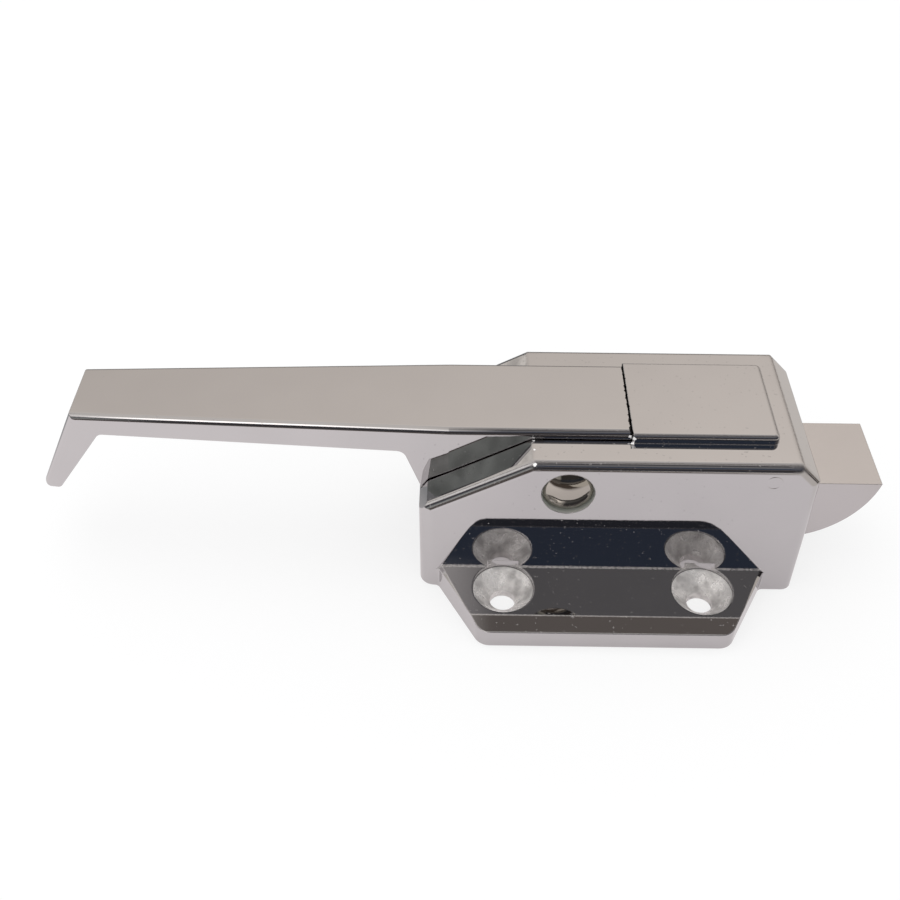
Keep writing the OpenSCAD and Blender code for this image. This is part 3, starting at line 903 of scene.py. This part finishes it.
@dataclass(frozen=True)
class Easing:
    """How the edges of a CAD node are rounded by modifiers, which leave its own mesh alone.

    Attributes:
        width_mm: Width of the rounding.
        segments: Faces across the rounding.
        edge_deg: Smallest angle between faces that counts as an edge.
        flat_deg: Largest angle between faces that counts as flat.
        weld_mm: Distance within which points are one.
        weight: How much more a large face counts than a small one in the shading.
    """

    width_mm: float
    segments: int = 3
    edge_deg: float = 27.0
    flat_deg: float = 0.3
    weld_mm: float = 0.002
    weight: int = 100

    def apply(self, node: Piece) -> None:
        """Adds the modifiers to a node.

        Args:
            node: The node.
        """
        mesh = node.data
        if "custom_normal" in mesh.attributes:
            mesh.attributes.remove(mesh.attributes["custom_normal"])
        mesh.shade_smooth()
        weld = node.modifiers.new("weld", "WELD")
        weld.merge_threshold = self.weld_mm * MM
        flat = node.modifiers.new("flat", "DECIMATE")
        flat.decimate_type = "DISSOLVE"
        flat.angle_limit = math.radians(self.flat_deg)
        bevel = node.modifiers.new("edges", "BEVEL")
        bevel.width = self.width_mm * MM
        bevel.segments = self.segments
        bevel.limit_method = "ANGLE"
        bevel.angle_limit = math.radians(self.edge_deg)
        bevel.harden_normals = True
        bevel.use_clamp_overlap = True
        normals = node.modifiers.new("normals", "WEIGHTED_NORMAL")
        normals.keep_sharp = True
        normals.weight = self.weight


def dress(node: Piece, finish: Finish) -> None:
    """Gives every material slot of an object one finish.

    Args:
        node: The object.
        finish: Its finish.
    """
    mat = finish.material()
    if not node.data.materials:
        node.data.materials.append(mat)
    for index in range(len(node.data.materials)):
        node.data.materials[index] = mat
    LOG.info("%s: %s", node.name, finish.name)


def mesh_piece(name: str, points: list[Vector], faces: list[Face], body: str) -> Piece:
    """Makes a smooth-shaded piece that rides on a body.

    Args:
        name: Name of the piece.
        points: Its points, in metres.
        faces: Its faces.
        body: The body that it rides on.

    Returns:
        The piece.
    """
    mesh = bpy.data.meshes.new(name)
    mesh.from_pydata([tuple(p) for p in points], [], faces)
    mesh.shade_smooth()
    piece = bpy.data.objects.new(name, mesh)
    bpy.context.scene.collection.objects.link(piece)
    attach(piece, body)
    return piece


class Assembly:
    """A sub-assembly of the latch."""

    def build(self, nodes: dict[str, Piece]) -> None:
        """Leaves the CAD nodes' shapes as they are, unless a sub-assembly has its own way."""

    def dress(self, nodes: dict[str, Piece]) -> None:
        """Gives the pieces their finishes, in each sub-assembly's own way."""
        raise NotImplementedError


@dataclass
class Housing(Assembly):
    """The cast housing with its flanges.

    Attributes:
        finish: Finish of the casting.
    """

    finish: Finish = HOUSING_CHROME

    def dress(self, nodes: dict[str, Piece]) -> None:
        """Gives the casting its chrome."""
        dress(nodes["housing"], self.finish)


@dataclass
class Lever(Assembly):
    """The cast lever with its bushes.

    Attributes:
        finish: Finish of the casting.
        bush_finish: Finish of the bushes.
        bush_easing: Rounding of the bushes' edges.
        bushes: CAD nodes of the bushes.
    """

    finish: Finish = LEVER_CHROME
    bush_finish: Finish = NYLON
    bush_easing: Easing = Easing(0.15, segments=1)
    bushes: tuple[str, ...] = tuple(f"lever_bush_{side.value}" for side in Side)

    def build(self, nodes: dict[str, Piece]) -> None:
        """Rounds the bushes' edges."""
        for name in self.bushes:
            self.bush_easing.apply(nodes[name])

    def dress(self, nodes: dict[str, Piece]) -> None:
        """Gives the lever its chrome and the bushes their nylon.

        Args:
            nodes: The CAD nodes by name.
        """
        dress(nodes["lever"], self.finish)
        for name in self.bushes:
            dress(nodes[name], self.bush_finish)


@dataclass
class Pivot(Assembly):
    """The pivot pin, turned with a domed head, and its retaining ring.

    Attributes:
        proud_mm: How far the dome stands out over the CAD node's flat one.
        slope_deg: Slope of the dome where the rounded rim takes over.
        rim_r_mm: Rounding of the head's rim.
        head_t_mm: Thickness of the CAD node's head.
        groove_mm: Start and end of the ring's groove along the pin.
        groove_r_mm: Radius of the pin in the groove.
        shank_mm: Radius of the pin.
        chamfer_mm: Chamfer at the pin's rear end.
        dome_steps: Faces from the dome's middle to its rim.
        rim_steps: Faces over the rounded rim.
        steps: Faces around the pin.
        sharp_deg: Smallest angle between faces that is shaded as an edge.
        ring_easing: Rounding of the ring's edges.
        pin: The pin, once it is built.
    """

    proud_mm: float = 1.7
    slope_deg: float = 38.0
    rim_r_mm: float = 0.8
    head_t_mm: float = 2.3
    groove_mm: Range = (24.4, 25.5)
    groove_r_mm: float = 4.2
    shank_mm: float = 5.0
    chamfer_mm: float = 0.3
    dome_steps: int = 24
    rim_steps: int = 8
    steps: int = 96
    sharp_deg: float = 40.0
    ring_easing: Easing = Easing(0.1, segments=1)
    pin: Piece | None = field(default=None, init=False)

    def head(self, low: Vector, high: Vector) -> list[Range]:
        """Lists the outline of the domed head from its middle to its rim.

        Args:
            low: Lowest corner of the CAD node's box.
            high: Highest corner of that box.

        Returns:
            Pairs of radius and place along the pin, in metres.
        """
        head_r, rim_r = (high.x - low.x) / 2, self.rim_r_mm * MM
        slope = math.radians(self.slope_deg)
        sphere = (head_r - rim_r * (1 - math.sin(slope))) / math.sin(slope)
        top = low.y - self.proud_mm * MM
        outline = []
        for i in range(self.dome_steps + 1):
            angle = slope * i / self.dome_steps
            outline.append((sphere * math.sin(angle), top + sphere * (1 - math.cos(angle))))
        start_r, start_y = outline[-1]
        for i in range(1, self.rim_steps + 1):
            angle = slope + (math.pi / 2 - slope) * i / self.rim_steps
            outline.append((start_r + rim_r * (math.sin(angle) - math.sin(slope)),
                            start_y + rim_r * (math.cos(slope) - math.cos(angle))))
        return outline

    def shank(self, low: Vector, high: Vector) -> list[Range]:
        """Lists the outline from under the head to the middle of the rear end.

        Args:
            low: Lowest corner of the CAD node's box.
            high: Highest corner of that box.

        Returns:
            Pairs of radius and place along the pin, in metres.
        """
        head_r, seat = (high.x - low.x) / 2, low.y + self.head_t_mm * MM
        shank_r, groove_r, cut = self.shank_mm * MM, self.groove_r_mm * MM, self.chamfer_mm * MM
        start, end = metres(self.groove_mm)
        return [(head_r, seat), (shank_r, seat), (shank_r, start), (groove_r, start), (groove_r, end),
                (shank_r, end), (shank_r, high.y - cut), (shank_r - cut, high.y), (0.0, high.y)]

    def turn(self, outline: list[Range], middle: Vector) -> tuple[list[Vector], list[Face]]:
        """Turns an outline around the pin's axis.

        Args:
            outline: Pairs of radius and place along the pin; the first and the last lie on the axis.
            middle: A point on the axis.

        Returns:
            The points and the faces of the closed shape.
        """
        points, faces = [Vector((middle.x, outline[0][1], middle.z))], []
        for radius, y in outline[1:-1]:
            for k in range(self.steps):
                angle = 2 * math.pi * k / self.steps
                x, z = middle.x + radius * math.cos(angle), middle.z + radius * math.sin(angle)
                points.append(Vector((x, y, z)))
        points.append(Vector((middle.x, outline[-1][1], middle.z)))
        rings, last = len(outline) - 2, len(points) - 1
        for k in range(self.steps):
            ahead = (k + 1) % self.steps
            faces.append((0, 1 + k, 1 + ahead))
            for i in range(rings - 1):
                a, b = 1 + i * self.steps + k, 1 + i * self.steps + ahead
                faces.append((a, a + self.steps, b + self.steps, b))
            end = 1 + (rings - 1) * self.steps
            faces.append((end + k, last, end + ahead))
        return points, faces

    def build(self, nodes: dict[str, Piece]) -> None:
        """Turns the pin in the CAD node's place and rounds the ring's edges.

        Args:
            nodes: The CAD nodes by name.
        """
        low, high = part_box("pivot_pin")
        outline = self.head(low, high) + self.shank(low, high)
        points, faces = self.turn(outline, (low + high) / 2)
        self.pin = mesh_piece("turned_pivot_pin", points, faces, "housing")
        self.pin.data.set_sharp_from_angle(angle=math.radians(self.sharp_deg))
        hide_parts("pivot_pin")
        self.ring_easing.apply(nodes["retaining_ring"])

    def dress(self, nodes: dict[str, Piece]) -> None:
        """Gives the pin polished steel and the ring dark steel."""
        dress(self.pin, PIN_STEEL)
        dress(nodes["retaining_ring"], DARK_STEEL)


@dataclass
class Spring(Assembly):
    """A compression spring with closed ends, wound inside the box of its CAD node.

    Attributes:
        side: Which of the two springs it is.
        wire_mm: Diameter of the wire.
        turns: Open turns.
        closed_turns: Closed turns at each end.
        closed_pitch: Distance between closed turns in wire diameters, over 1 so that they don't touch.
        throw_mm: How much shorter the spring gets when the bolt is drawn back; not used.
        rings_per_turn: Rings of points in each turn of the wire.
        sides: Faces around the wire.
        piece: The spring, once it is built.
    """

    side: Side
    wire_mm: float = 0.8
    turns: float = 7.5
    closed_turns: float = 1.0
    closed_pitch: float = 1.02
    throw_mm: float = 20.0
    rings_per_turn: int = 28
    sides: int = 10
    piece: Piece | None = field(default=None, init=False)

    def centre_line(self, low: Vector, high: Vector) -> list[Vector]:
        """Works out the wire's centre line.

        Args:
            low: Lowest corner of the CAD node's box.
            high: Highest corner of that box.

        Returns:
            Points from one end to the other.
        """
        wire = self.wire_mm * MM
        radius = (high.y - low.y - wire) / 2
        middle = (low + high) / 2
        total = self.turns + 2 * self.closed_turns
        rings = round(total * self.rings_per_turn)
        closed = self.closed_turns * wire * self.closed_pitch
        open_length = high.x - low.x - wire - 2 * closed
        points = []
        for i in range(rings + 1):
            turn = total * i / rings
            at_start = min(turn, self.closed_turns) / self.closed_turns
            at_end = max(turn - self.closed_turns - self.turns, 0.0) / self.closed_turns
            along = min(max((turn - self.closed_turns) / self.turns, 0.0), 1.0)
            x = low.x + wire / 2 + closed * (at_start + at_end) + open_length * along
            angle = 2 * math.pi * turn
            y, z = middle.y + radius * math.cos(angle), middle.z + radius * math.sin(angle)
            points.append(Vector((x, y, z)))
        return points

    def wind(self, line: list[Vector]) -> tuple[list[Vector], list[Face]]:
        """Lays the round wire along its centre line.

        Args:
            line: Points from one end to the other.

        Returns:
            The points and the faces of the closed wire.
        """
        points, faces = [], []
        for i, point in enumerate(line):
            ahead = (line[min(i + 1, len(line) - 1)] - line[max(i - 1, 0)]).normalized()
            across = ahead.cross(Vector((1.0, 0.0, 0.0))).normalized()
            up = across.cross(ahead)
            for k in range(self.sides):
                angle = 2 * math.pi * k / self.sides
                outwards = math.cos(angle) * across + math.sin(angle) * up
                points.append(point + self.wire_mm * MM / 2 * outwards)
        for i in range(len(line) - 1):
            for k in range(self.sides):
                a, b = i * self.sides + k, i * self.sides + (k + 1) % self.sides
                faces.append((a, b, b + self.sides, a + self.sides))
        faces.append(tuple(reversed(range(self.sides))))
        faces.append(tuple(range(len(points) - self.sides, len(points))))
        return points, faces

    def build(self, nodes: dict[str, Piece]) -> None:
        """Winds the wire in the CAD node's place.

        Args:
            nodes: The CAD nodes by name, which the spring leaves alone.
        """
        node = f"bolt_spring_{self.side.value}"
        low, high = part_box(node)
        points, faces = self.wind(self.centre_line(low, high))
        self.piece = mesh_piece(f"spring_coil_{self.side.value}", points, faces, "housing")
        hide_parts(node)
        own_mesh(self.piece)

    def dress(self, nodes: dict[str, Piece]) -> None:
        """Gives the wire its steel."""
        dress(self.piece, SPRING_STEEL)


@dataclass
class BoltAssembly(Assembly):
    """The bolt with its cross pin, spring bar and studs.

    Attributes:
        bolt_easing: Rounding of the bolt's edges.
        small_easing: Rounding of the small pieces' edges.
        zinc_pieces: CAD nodes of the small pieces that are zinc plated.
    """

    bolt_easing: Easing = Easing(0.3)
    small_easing: Easing = Easing(0.25, segments=2)
    zinc_pieces: tuple[str, ...] = ("spring_bar", *(f"spring_stud_{side.value}" for side in Side))

    def build(self, nodes: dict[str, Piece]) -> None:
        """Rounds the edges.

        Args:
            nodes: The CAD nodes by name.
        """
        self.bolt_easing.apply(nodes["bolt"])
        for name in ("cross_pin", *self.zinc_pieces):
            self.small_easing.apply(nodes[name])

    def dress(self, nodes: dict[str, Piece]) -> None:
        """Gives each piece its metal.

        Args:
            nodes: The CAD nodes by name.
        """
        dress(nodes["bolt"], BOLT_CHROME)
        dress(nodes["cross_pin"], PIN_STEEL)
        for name in self.zinc_pieces:
            dress(nodes[name], ZINC_STEEL)


@dataclass
class BackPlate(Assembly):
    """The steel plate behind the bolt, with its screws.

    Attributes:
        plate_easing: Rounding of the plate's edges.
        screw_easing: Rounding of the screws' edges.
    """

    plate_easing: Easing = Easing(0.2, segments=2)
    screw_easing: Easing = Easing(0.25, segments=2)

    def build(self, nodes: dict[str, Piece]) -> None:
        """Rounds the edges."""
        self.plate_easing.apply(nodes["back_plate"])
        self.screw_easing.apply(nodes["back_plate_screws"])

    def dress(self, nodes: dict[str, Piece]) -> None:
        """Gives the plate and the screws their zinc."""
        dress(nodes["back_plate"], ZINC_STEEL)
        dress(nodes["back_plate_screws"], ZINC_STEEL)


@dataclass(frozen=True)
class StudioCamera:
    """The camera, at the photograph's place and angle.

    Attributes:
        eye_mm: Its place.
        pitch_deg: Angle that it looks down.
        yaw_deg: Its turn to the right.
        roll_deg: Its turn about its own axis.
        focal_px: Focal length in pixels of a picture that is frame_px wide.
        frame_px: Width of the picture in pixels.
        sensor_mm: Width of its sensor.
        near_mm: Distance from which it sees things.
    """

    eye_mm: Point = (-43.1, -265.5, 274.1)
    pitch_deg: float = 42.37
    yaw_deg: float = -0.69
    roll_deg: float = 0.26
    focal_px: float = 1164.7
    frame_px: float = 900.0
    sensor_mm: float = 36.0
    near_mm: float = 10.0

    def build(self) -> None:
        """Sets the camera up."""
        data = bpy.data.cameras.new("camera")
        data.sensor_fit = "HORIZONTAL"
        data.sensor_width = self.sensor_mm
        data.lens = self.focal_px / self.frame_px * self.sensor_mm
        data.clip_start = self.near_mm * MM
        cam = bpy.data.objects.new("camera", data)
        turn = (
            Matrix.Rotation(math.radians(-self.yaw_deg), 4, "Z")
            @ Matrix.Rotation(math.radians(90.0 - self.pitch_deg), 4, "X")
            @ Matrix.Rotation(math.radians(self.roll_deg), 4, "Z")
        )
        cam.matrix_world = Matrix.Translation(Vector(self.eye_mm) * MM) @ turn
        bpy.context.scene.collection.objects.link(cam)
        bpy.context.scene.camera = cam


@dataclass(frozen=True)
class Floor:
    """The floor: pale to the camera, and a table with zones of its own in the chrome.

    Attributes:
        size_m: Length of its sides.
        drop_mm: How far it lies under the latch.
        paint: Linear colour in plain light.
        camera_glow: Share of its light that it gives by itself to the camera.
        mirror_glow: The same to mirror images.
        front_mm: Places across the latch where the table's dark front ends and its pale part starts.
        front_slant: How much those places shift along the latch.
        front: Linear colour of the dark front.
        pale_mm: Places along the latch where the pale part has its right and its left colour.
        pale_right: Linear colour of the pale part on the right.
        pale_left: Linear colour of the pale part on the left.
        behind_mm: Places across the latch where the table starts to darken and has done so.
        behind: How much it darkens behind the latch.
        right_mm: Places along the latch where the table's right end starts and is reached.
        right: Linear colour of that end.
    """

    size_m: float = 8.0
    drop_mm: float = 0.1
    paint: Color = (0.95, 0.95, 0.955)
    camera_glow: float = 0.75
    mirror_glow: float = 0.6
    front_mm: Range = (-260.0, -135.0)
    front_slant: float = -0.25
    front: Color = (0.1, 0.08, 0.07)
    pale_mm: Range = (-20.0, -90.0)
    pale_right: Color = (0.9, 0.855, 0.865)
    pale_left: Color = (1.02, 0.97, 0.975)
    behind_mm: Range = (0.0, 50.0)
    behind: Color = (0.34, 0.36, 0.365)
    right_mm: Range = (90.0, 130.0)
    right: Color = (0.72, 0.675, 0.635)

    def table(self, tree: NodeTree) -> Socket:
        """Colours the floor as the chrome mirrors it.

        Args:
            tree: The floor's tree.

        Returns:
            The colour's socket.
        """
        parts = tree.split(tree.add("ShaderNodeNewGeometry").outputs["Position"])
        across = tree.math(Sum.ADD, parts["Y"], tree.product(parts["X"], self.front_slant))
        pale = tree.mix(tree.span(parts["X"], metres(self.pale_mm)), self.pale_right, self.pale_left)
        table = tree.mix(tree.span(across, metres(self.front_mm)), self.front, pale)
        behind = tree.mix(tree.span(parts["Y"], metres(self.behind_mm)), WHITE, self.behind)
        table = tree.mix(1.0, table, behind, Blend.MULTIPLY)
        return tree.mix(tree.span(parts["X"], metres(self.right_mm)), table, self.right)

    def material(self) -> Material:
        """Mixes plain paint with a glow, so that the floor stays pale and keeps the shadow.

        Returns:
            The floor's material.
        """
        mat = bpy.data.materials.new("floor_white")
        mat.use_nodes = True
        mat.node_tree.nodes.clear()
        tree = NodeTree(mat.node_tree)
        rays = tree.add("ShaderNodeLightPath").outputs
        table = self.table(tree)
        paint = tree.add("ShaderNodeBsdfDiffuse")
        tree.feed(paint.inputs["Color"], tree.mix(rays["Is Glossy Ray"], self.paint, table))
        glow = tree.add("ShaderNodeEmission")
        tree.feed(glow.inputs["Color"], tree.mix(rays["Is Glossy Ray"], WHITE, table))
        share = tree.math(Sum.ADD, tree.product(rays["Is Camera Ray"], self.camera_glow),
                          tree.product(rays["Is Glossy Ray"], self.mirror_glow))
        both = tree.add("ShaderNodeMixShader")
        for slot, value in zip(both.inputs, (share, paint.outputs[0], glow.outputs[0])):
            tree.feed(slot, value)
        tree.feed(tree.add("ShaderNodeOutputMaterial").inputs["Surface"], both.outputs[0])
        return mat

    def build(self) -> None:
        """Lays the floor."""
        bpy.ops.mesh.primitive_plane_add(size=self.size_m, location=(0.0, 0.0, -self.drop_mm * MM))
        floor = bpy.context.object
        floor.name = "floor"
        floor.data.materials.append(self.material())


@dataclass(frozen=True)
class Band:
    """One stop in the surroundings that the chrome mirrors.

    Attributes:
        angle_deg: Angle over the object, from the horizon behind it (0) to the one in front (180).
        color: Linear colour there.
    """

    angle_deg: float
    color: Color


@dataclass(frozen=True)
class Glare:
    """A bright stretch over the left half of the room.

    Attributes:
        color: Linear colour.
        middle_deg: Angle over the object at its middle.
        fade_deg: Angles from its middle where it starts to fade and has faded away.
        sideways: Sideways parts of the direction where it starts and is full.
    """

    color: Color
    middle_deg: float
    fade_deg: Range
    sideways: Range


@dataclass(frozen=True)
class Room:
    """Plain light for the scene and, for mirror images alone, a room of coloured bands.

    Attributes:
        bands: The room's bands, from behind the object over it to its front.
        left_wall: The bands of the room's left wall.
        wall_start: Sideways parts of the direction where the left wall starts and is full.
        left_fade: Sideways parts of the direction where the room is darkest on the left and undimmed.
        left_shade: Shares of its colour that it has there.
        right_fade: The same on the right, undimmed and darkest.
        right_shade: Shares of its colour that it has there.
        glares: Bright stretches, in the order in which they are laid on.
        streak_stretch: How much the streaks of the left wall are squeezed along each axis.
        streak_scale: Scale of the streaks' noise.
        streak_noise: Values of that noise where the streaks are darkest and brightest.
        streak_shade: Shares of the wall's colour there.
    """

    bands: tuple[Band, ...] = (
        Band(0.0, (0.13, 0.1, 0.08)),
        Band(10.0, (0.16, 0.13, 0.11)),
        Band(15.0, (0.85, 0.785, 0.72)),
        Band(34.0, (0.87, 0.8, 0.735)),
        Band(44.0, (1.02, 0.94, 0.862)),
        Band(60.0, (1.05, 0.98, 0.91)),
        Band(65.0, (0.64, 0.61, 0.595)),
        Band(82.0, (0.62, 0.595, 0.58)),
        Band(83.5, (0.168, 0.147, 0.135)),
        Band(90.0, (0.16, 0.14, 0.13)),
        Band(91.5, (0.56, 0.535, 0.52)),
        Band(98.0, (0.52, 0.5, 0.49)),
        Band(101.0, (0.12, 0.11, 0.11)),
        Band(114.0, (0.1, 0.1, 0.11)),
        Band(117.0, (0.25, 0.245, 0.25)),
        Band(131.0, (0.24, 0.235, 0.24)),
        Band(134.0, (0.062, 0.08, 0.12)),
        Band(145.0, (0.06, 0.075, 0.11)),
        Band(147.0, (0.19, 0.17, 0.165)),
        Band(150.0, (0.17, 0.15, 0.145)),
        Band(151.5, (0.05, 0.045, 0.047)),
        Band(163.0, (0.06, 0.055, 0.055)),
        Band(165.5, (0.045, 0.05, 0.065)),
        Band(173.0, (0.045, 0.048, 0.06)),
        Band(174.5, (0.24, 0.22, 0.21)),
        Band(177.0, (0.22, 0.2, 0.19)),
        Band(178.5, (0.05, 0.045, 0.043)),
        Band(180.0, (0.08, 0.07, 0.065)),
    )
    left_wall: tuple[Band, ...] = (
        Band(0.0, (0.16, 0.165, 0.165)),
        Band(16.0, (0.15, 0.158, 0.158)),
        Band(21.0, (0.74, 0.7, 0.65)),
        Band(60.0, (0.8, 0.76, 0.71)),
        Band(78.0, (0.88, 0.84, 0.81)),
        Band(81.0, (0.16, 0.14, 0.13)),
        Band(86.0, (0.16, 0.14, 0.13)),
        Band(89.0, (0.9, 0.87, 0.85)),
        Band(120.0, (0.95, 0.92, 0.9)),
        Band(126.0, (0.1, 0.09, 0.09)),
        Band(145.0, (0.08, 0.08, 0.1)),
        Band(150.0, (0.31, 0.33, 0.315)),
        Band(156.0, (0.34, 0.355, 0.335)),
        Band(164.0, (0.5, 0.47, 0.46)),
        Band(168.0, (0.07, 0.065, 0.06)),
        Band(180.0, (0.2, 0.18, 0.17)),
    )
    wall_start: Range = (-0.3, -0.4)
    left_fade: Range = (-0.3, 0.25)
    left_shade: Range = (0.84, 1.0)
    right_fade: Range = (0.3, 0.6)
    right_shade: Range = (1.0, 0.82)
    glares: tuple[Glare, ...] = (
        Glare((0.86, 0.82, 0.78), middle_deg=90.0, fade_deg=(24.0, 28.0), sideways=(0.03, -0.06)),
        Glare((2.6, 2.5, 2.42), middle_deg=127.0, fade_deg=(9.0, 13.0), sideways=(0.04, -0.18)),
    )
    streak_stretch: Point = (9.0, 50.0, 90.0)
    streak_scale: float = 1.6
    streak_noise: Range = (0.35, 0.65)
    streak_shade: Range = (0.62, 1.5)

    def ramp(self, tree: NodeTree, turn: Socket, stops: tuple[Band, ...]) -> Socket:
        """Lays colour bands over the room.

        Args:
            tree: The world's tree.
            turn: Angle over the object as a share of half a turn.
            stops: The bands, in order.

        Returns:
            The colour's socket.
        """
        ramp = tree.add("ShaderNodeValToRGB")
        elements = ramp.color_ramp.elements
        while len(elements) < len(stops):
            elements.new(0.5)
        for element, band in zip(elements, stops):
            element.position = band.angle_deg / HALF_TURN_DEG
            element.color = (*band.color, 1.0)
        tree.feed(ramp.inputs[0], turn)
        return ramp.outputs["Color"]

    def streaks(self, tree: NodeTree, way: Socket) -> Socket:
        """Makes the streaks of the left wall.

        Args:
            tree: The world's tree.
            way: The direction.

        Returns:
            The share of the wall's colour.
        """
        stretch = tree.add("ShaderNodeMapping")
        stretch.inputs["Scale"].default_value = self.streak_stretch
        tree.feed(stretch.inputs["Vector"], way)
        noise = tree.add("ShaderNodeTexNoise")
        noise.inputs["Scale"].default_value = self.streak_scale
        noise.inputs["Detail"].default_value = 3.0
        tree.feed(noise.inputs["Vector"], stretch.outputs[0])
        return tree.span(noise.outputs[0], self.streak_noise, self.streak_shade)

    def mirrored(self, tree: NodeTree) -> Socket:
        """Colours the room.

        Args:
            tree: The world's tree.

        Returns:
            The colour's socket.
        """
        way = tree.add("ShaderNodeTexCoord").outputs["Generated"]
        parts = tree.split(way)
        angle = tree.math(Sum.ARCTAN2, parts["Z"], parts["Y"])
        turn = tree.math(Sum.DIVIDE, angle, math.pi, clamp=True)
        degrees = tree.product(angle, HALF_TURN_DEG / math.pi)
        shade = tree.product(tree.span(parts["X"], self.left_fade, self.left_shade),
                             tree.span(parts["X"], self.right_fade, self.right_shade))
        room = tree.mix(1.0, self.ramp(tree, turn, self.bands), shade, Blend.MULTIPLY)
        for glare in self.glares:
            off = tree.math(Sum.ABSOLUTE, tree.math(Sum.SUBTRACT, degrees, glare.middle_deg))
            fade = tree.span(off, glare.fade_deg, FALL)
            share = tree.product(fade, tree.span(parts["X"], glare.sideways))
            room = tree.mix(share, room, glare.color)
        wall = tree.mix(1.0, self.ramp(tree, turn, self.left_wall), self.streaks(tree, way), Blend.MULTIPLY)
        return tree.mix(tree.span(parts["X"], self.wall_start, smooth=True), room, wall)

    def build(self) -> None:
        """Sets the world up."""
        world = bpy.data.worlds.new("surroundings")
        bpy.context.scene.world = world
        world.use_nodes = True
        tree = NodeTree(world.node_tree)
        back = world.node_tree.nodes["Background"]
        rays = tree.add("ShaderNodeLightPath").outputs
        tree.feed(back.inputs["Color"], tree.mix(rays["Is Glossy Ray"], WHITE, self.mirrored(tree)))
        back.inputs["Strength"].default_value = 1.0


@dataclass(frozen=True)
class Lamp:
    """One large soft lamp over the object, which the chrome doesn't mirror.

    Attributes:
        power_w: Its power.
        size_m: Length of its sides.
        place_m: Its place; it points at the middle of the latch.
    """

    power_w: float = 2.0
    size_m: float = 0.8
    place_m: Point = (-0.3, 0.2, 1.1)

    def build(self) -> None:
        """Hangs the lamp."""
        data = bpy.data.lights.new("soft_lamp", "AREA")
        data.energy = self.power_w
        data.size = self.size_m
        lamp = bpy.data.objects.new("soft_lamp", data)
        lamp.location = self.place_m
        lamp.rotation_euler = (-Vector(self.place_m)).to_track_quat("-Z", "Y").to_euler()
        lamp.visible_glossy = False
        bpy.context.scene.collection.objects.link(lamp)


@dataclass(frozen=True)
class Studio:
    """Camera, pale floor, surroundings and lamp.

    Attributes:
        camera: The camera.
        floor: The floor.
        room: The surroundings.
        lamp: The lamp.
    """

    camera: StudioCamera = StudioCamera()
    floor: Floor = Floor()
    room: Room = Room()
    lamp: Lamp = Lamp()

    def build(self) -> None:
        """Sets the studio up, part by part."""
        for part in (self.camera, self.floor, self.room, self.lamp):
            part.build()
            LOG.info("studio: %s", type(part).__name__)


def main() -> None:
    """Builds the scene in order: studio first, then each sub-assembly."""
    logging.basicConfig(level=logging.INFO, format="%(message)s")
    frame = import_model()
    bpy.context.scene.view_settings.view_transform = "Standard"
    Studio().build()
    springs = (Spring(side) for side in Side)
    for assembly in (Housing(), Lever(), Pivot(), BoltAssembly(), *springs, BackPlate()):
        assembly.build(frame["nodes"])
        assembly.dress(frame["nodes"])


if __name__ == "__main__":
    main()
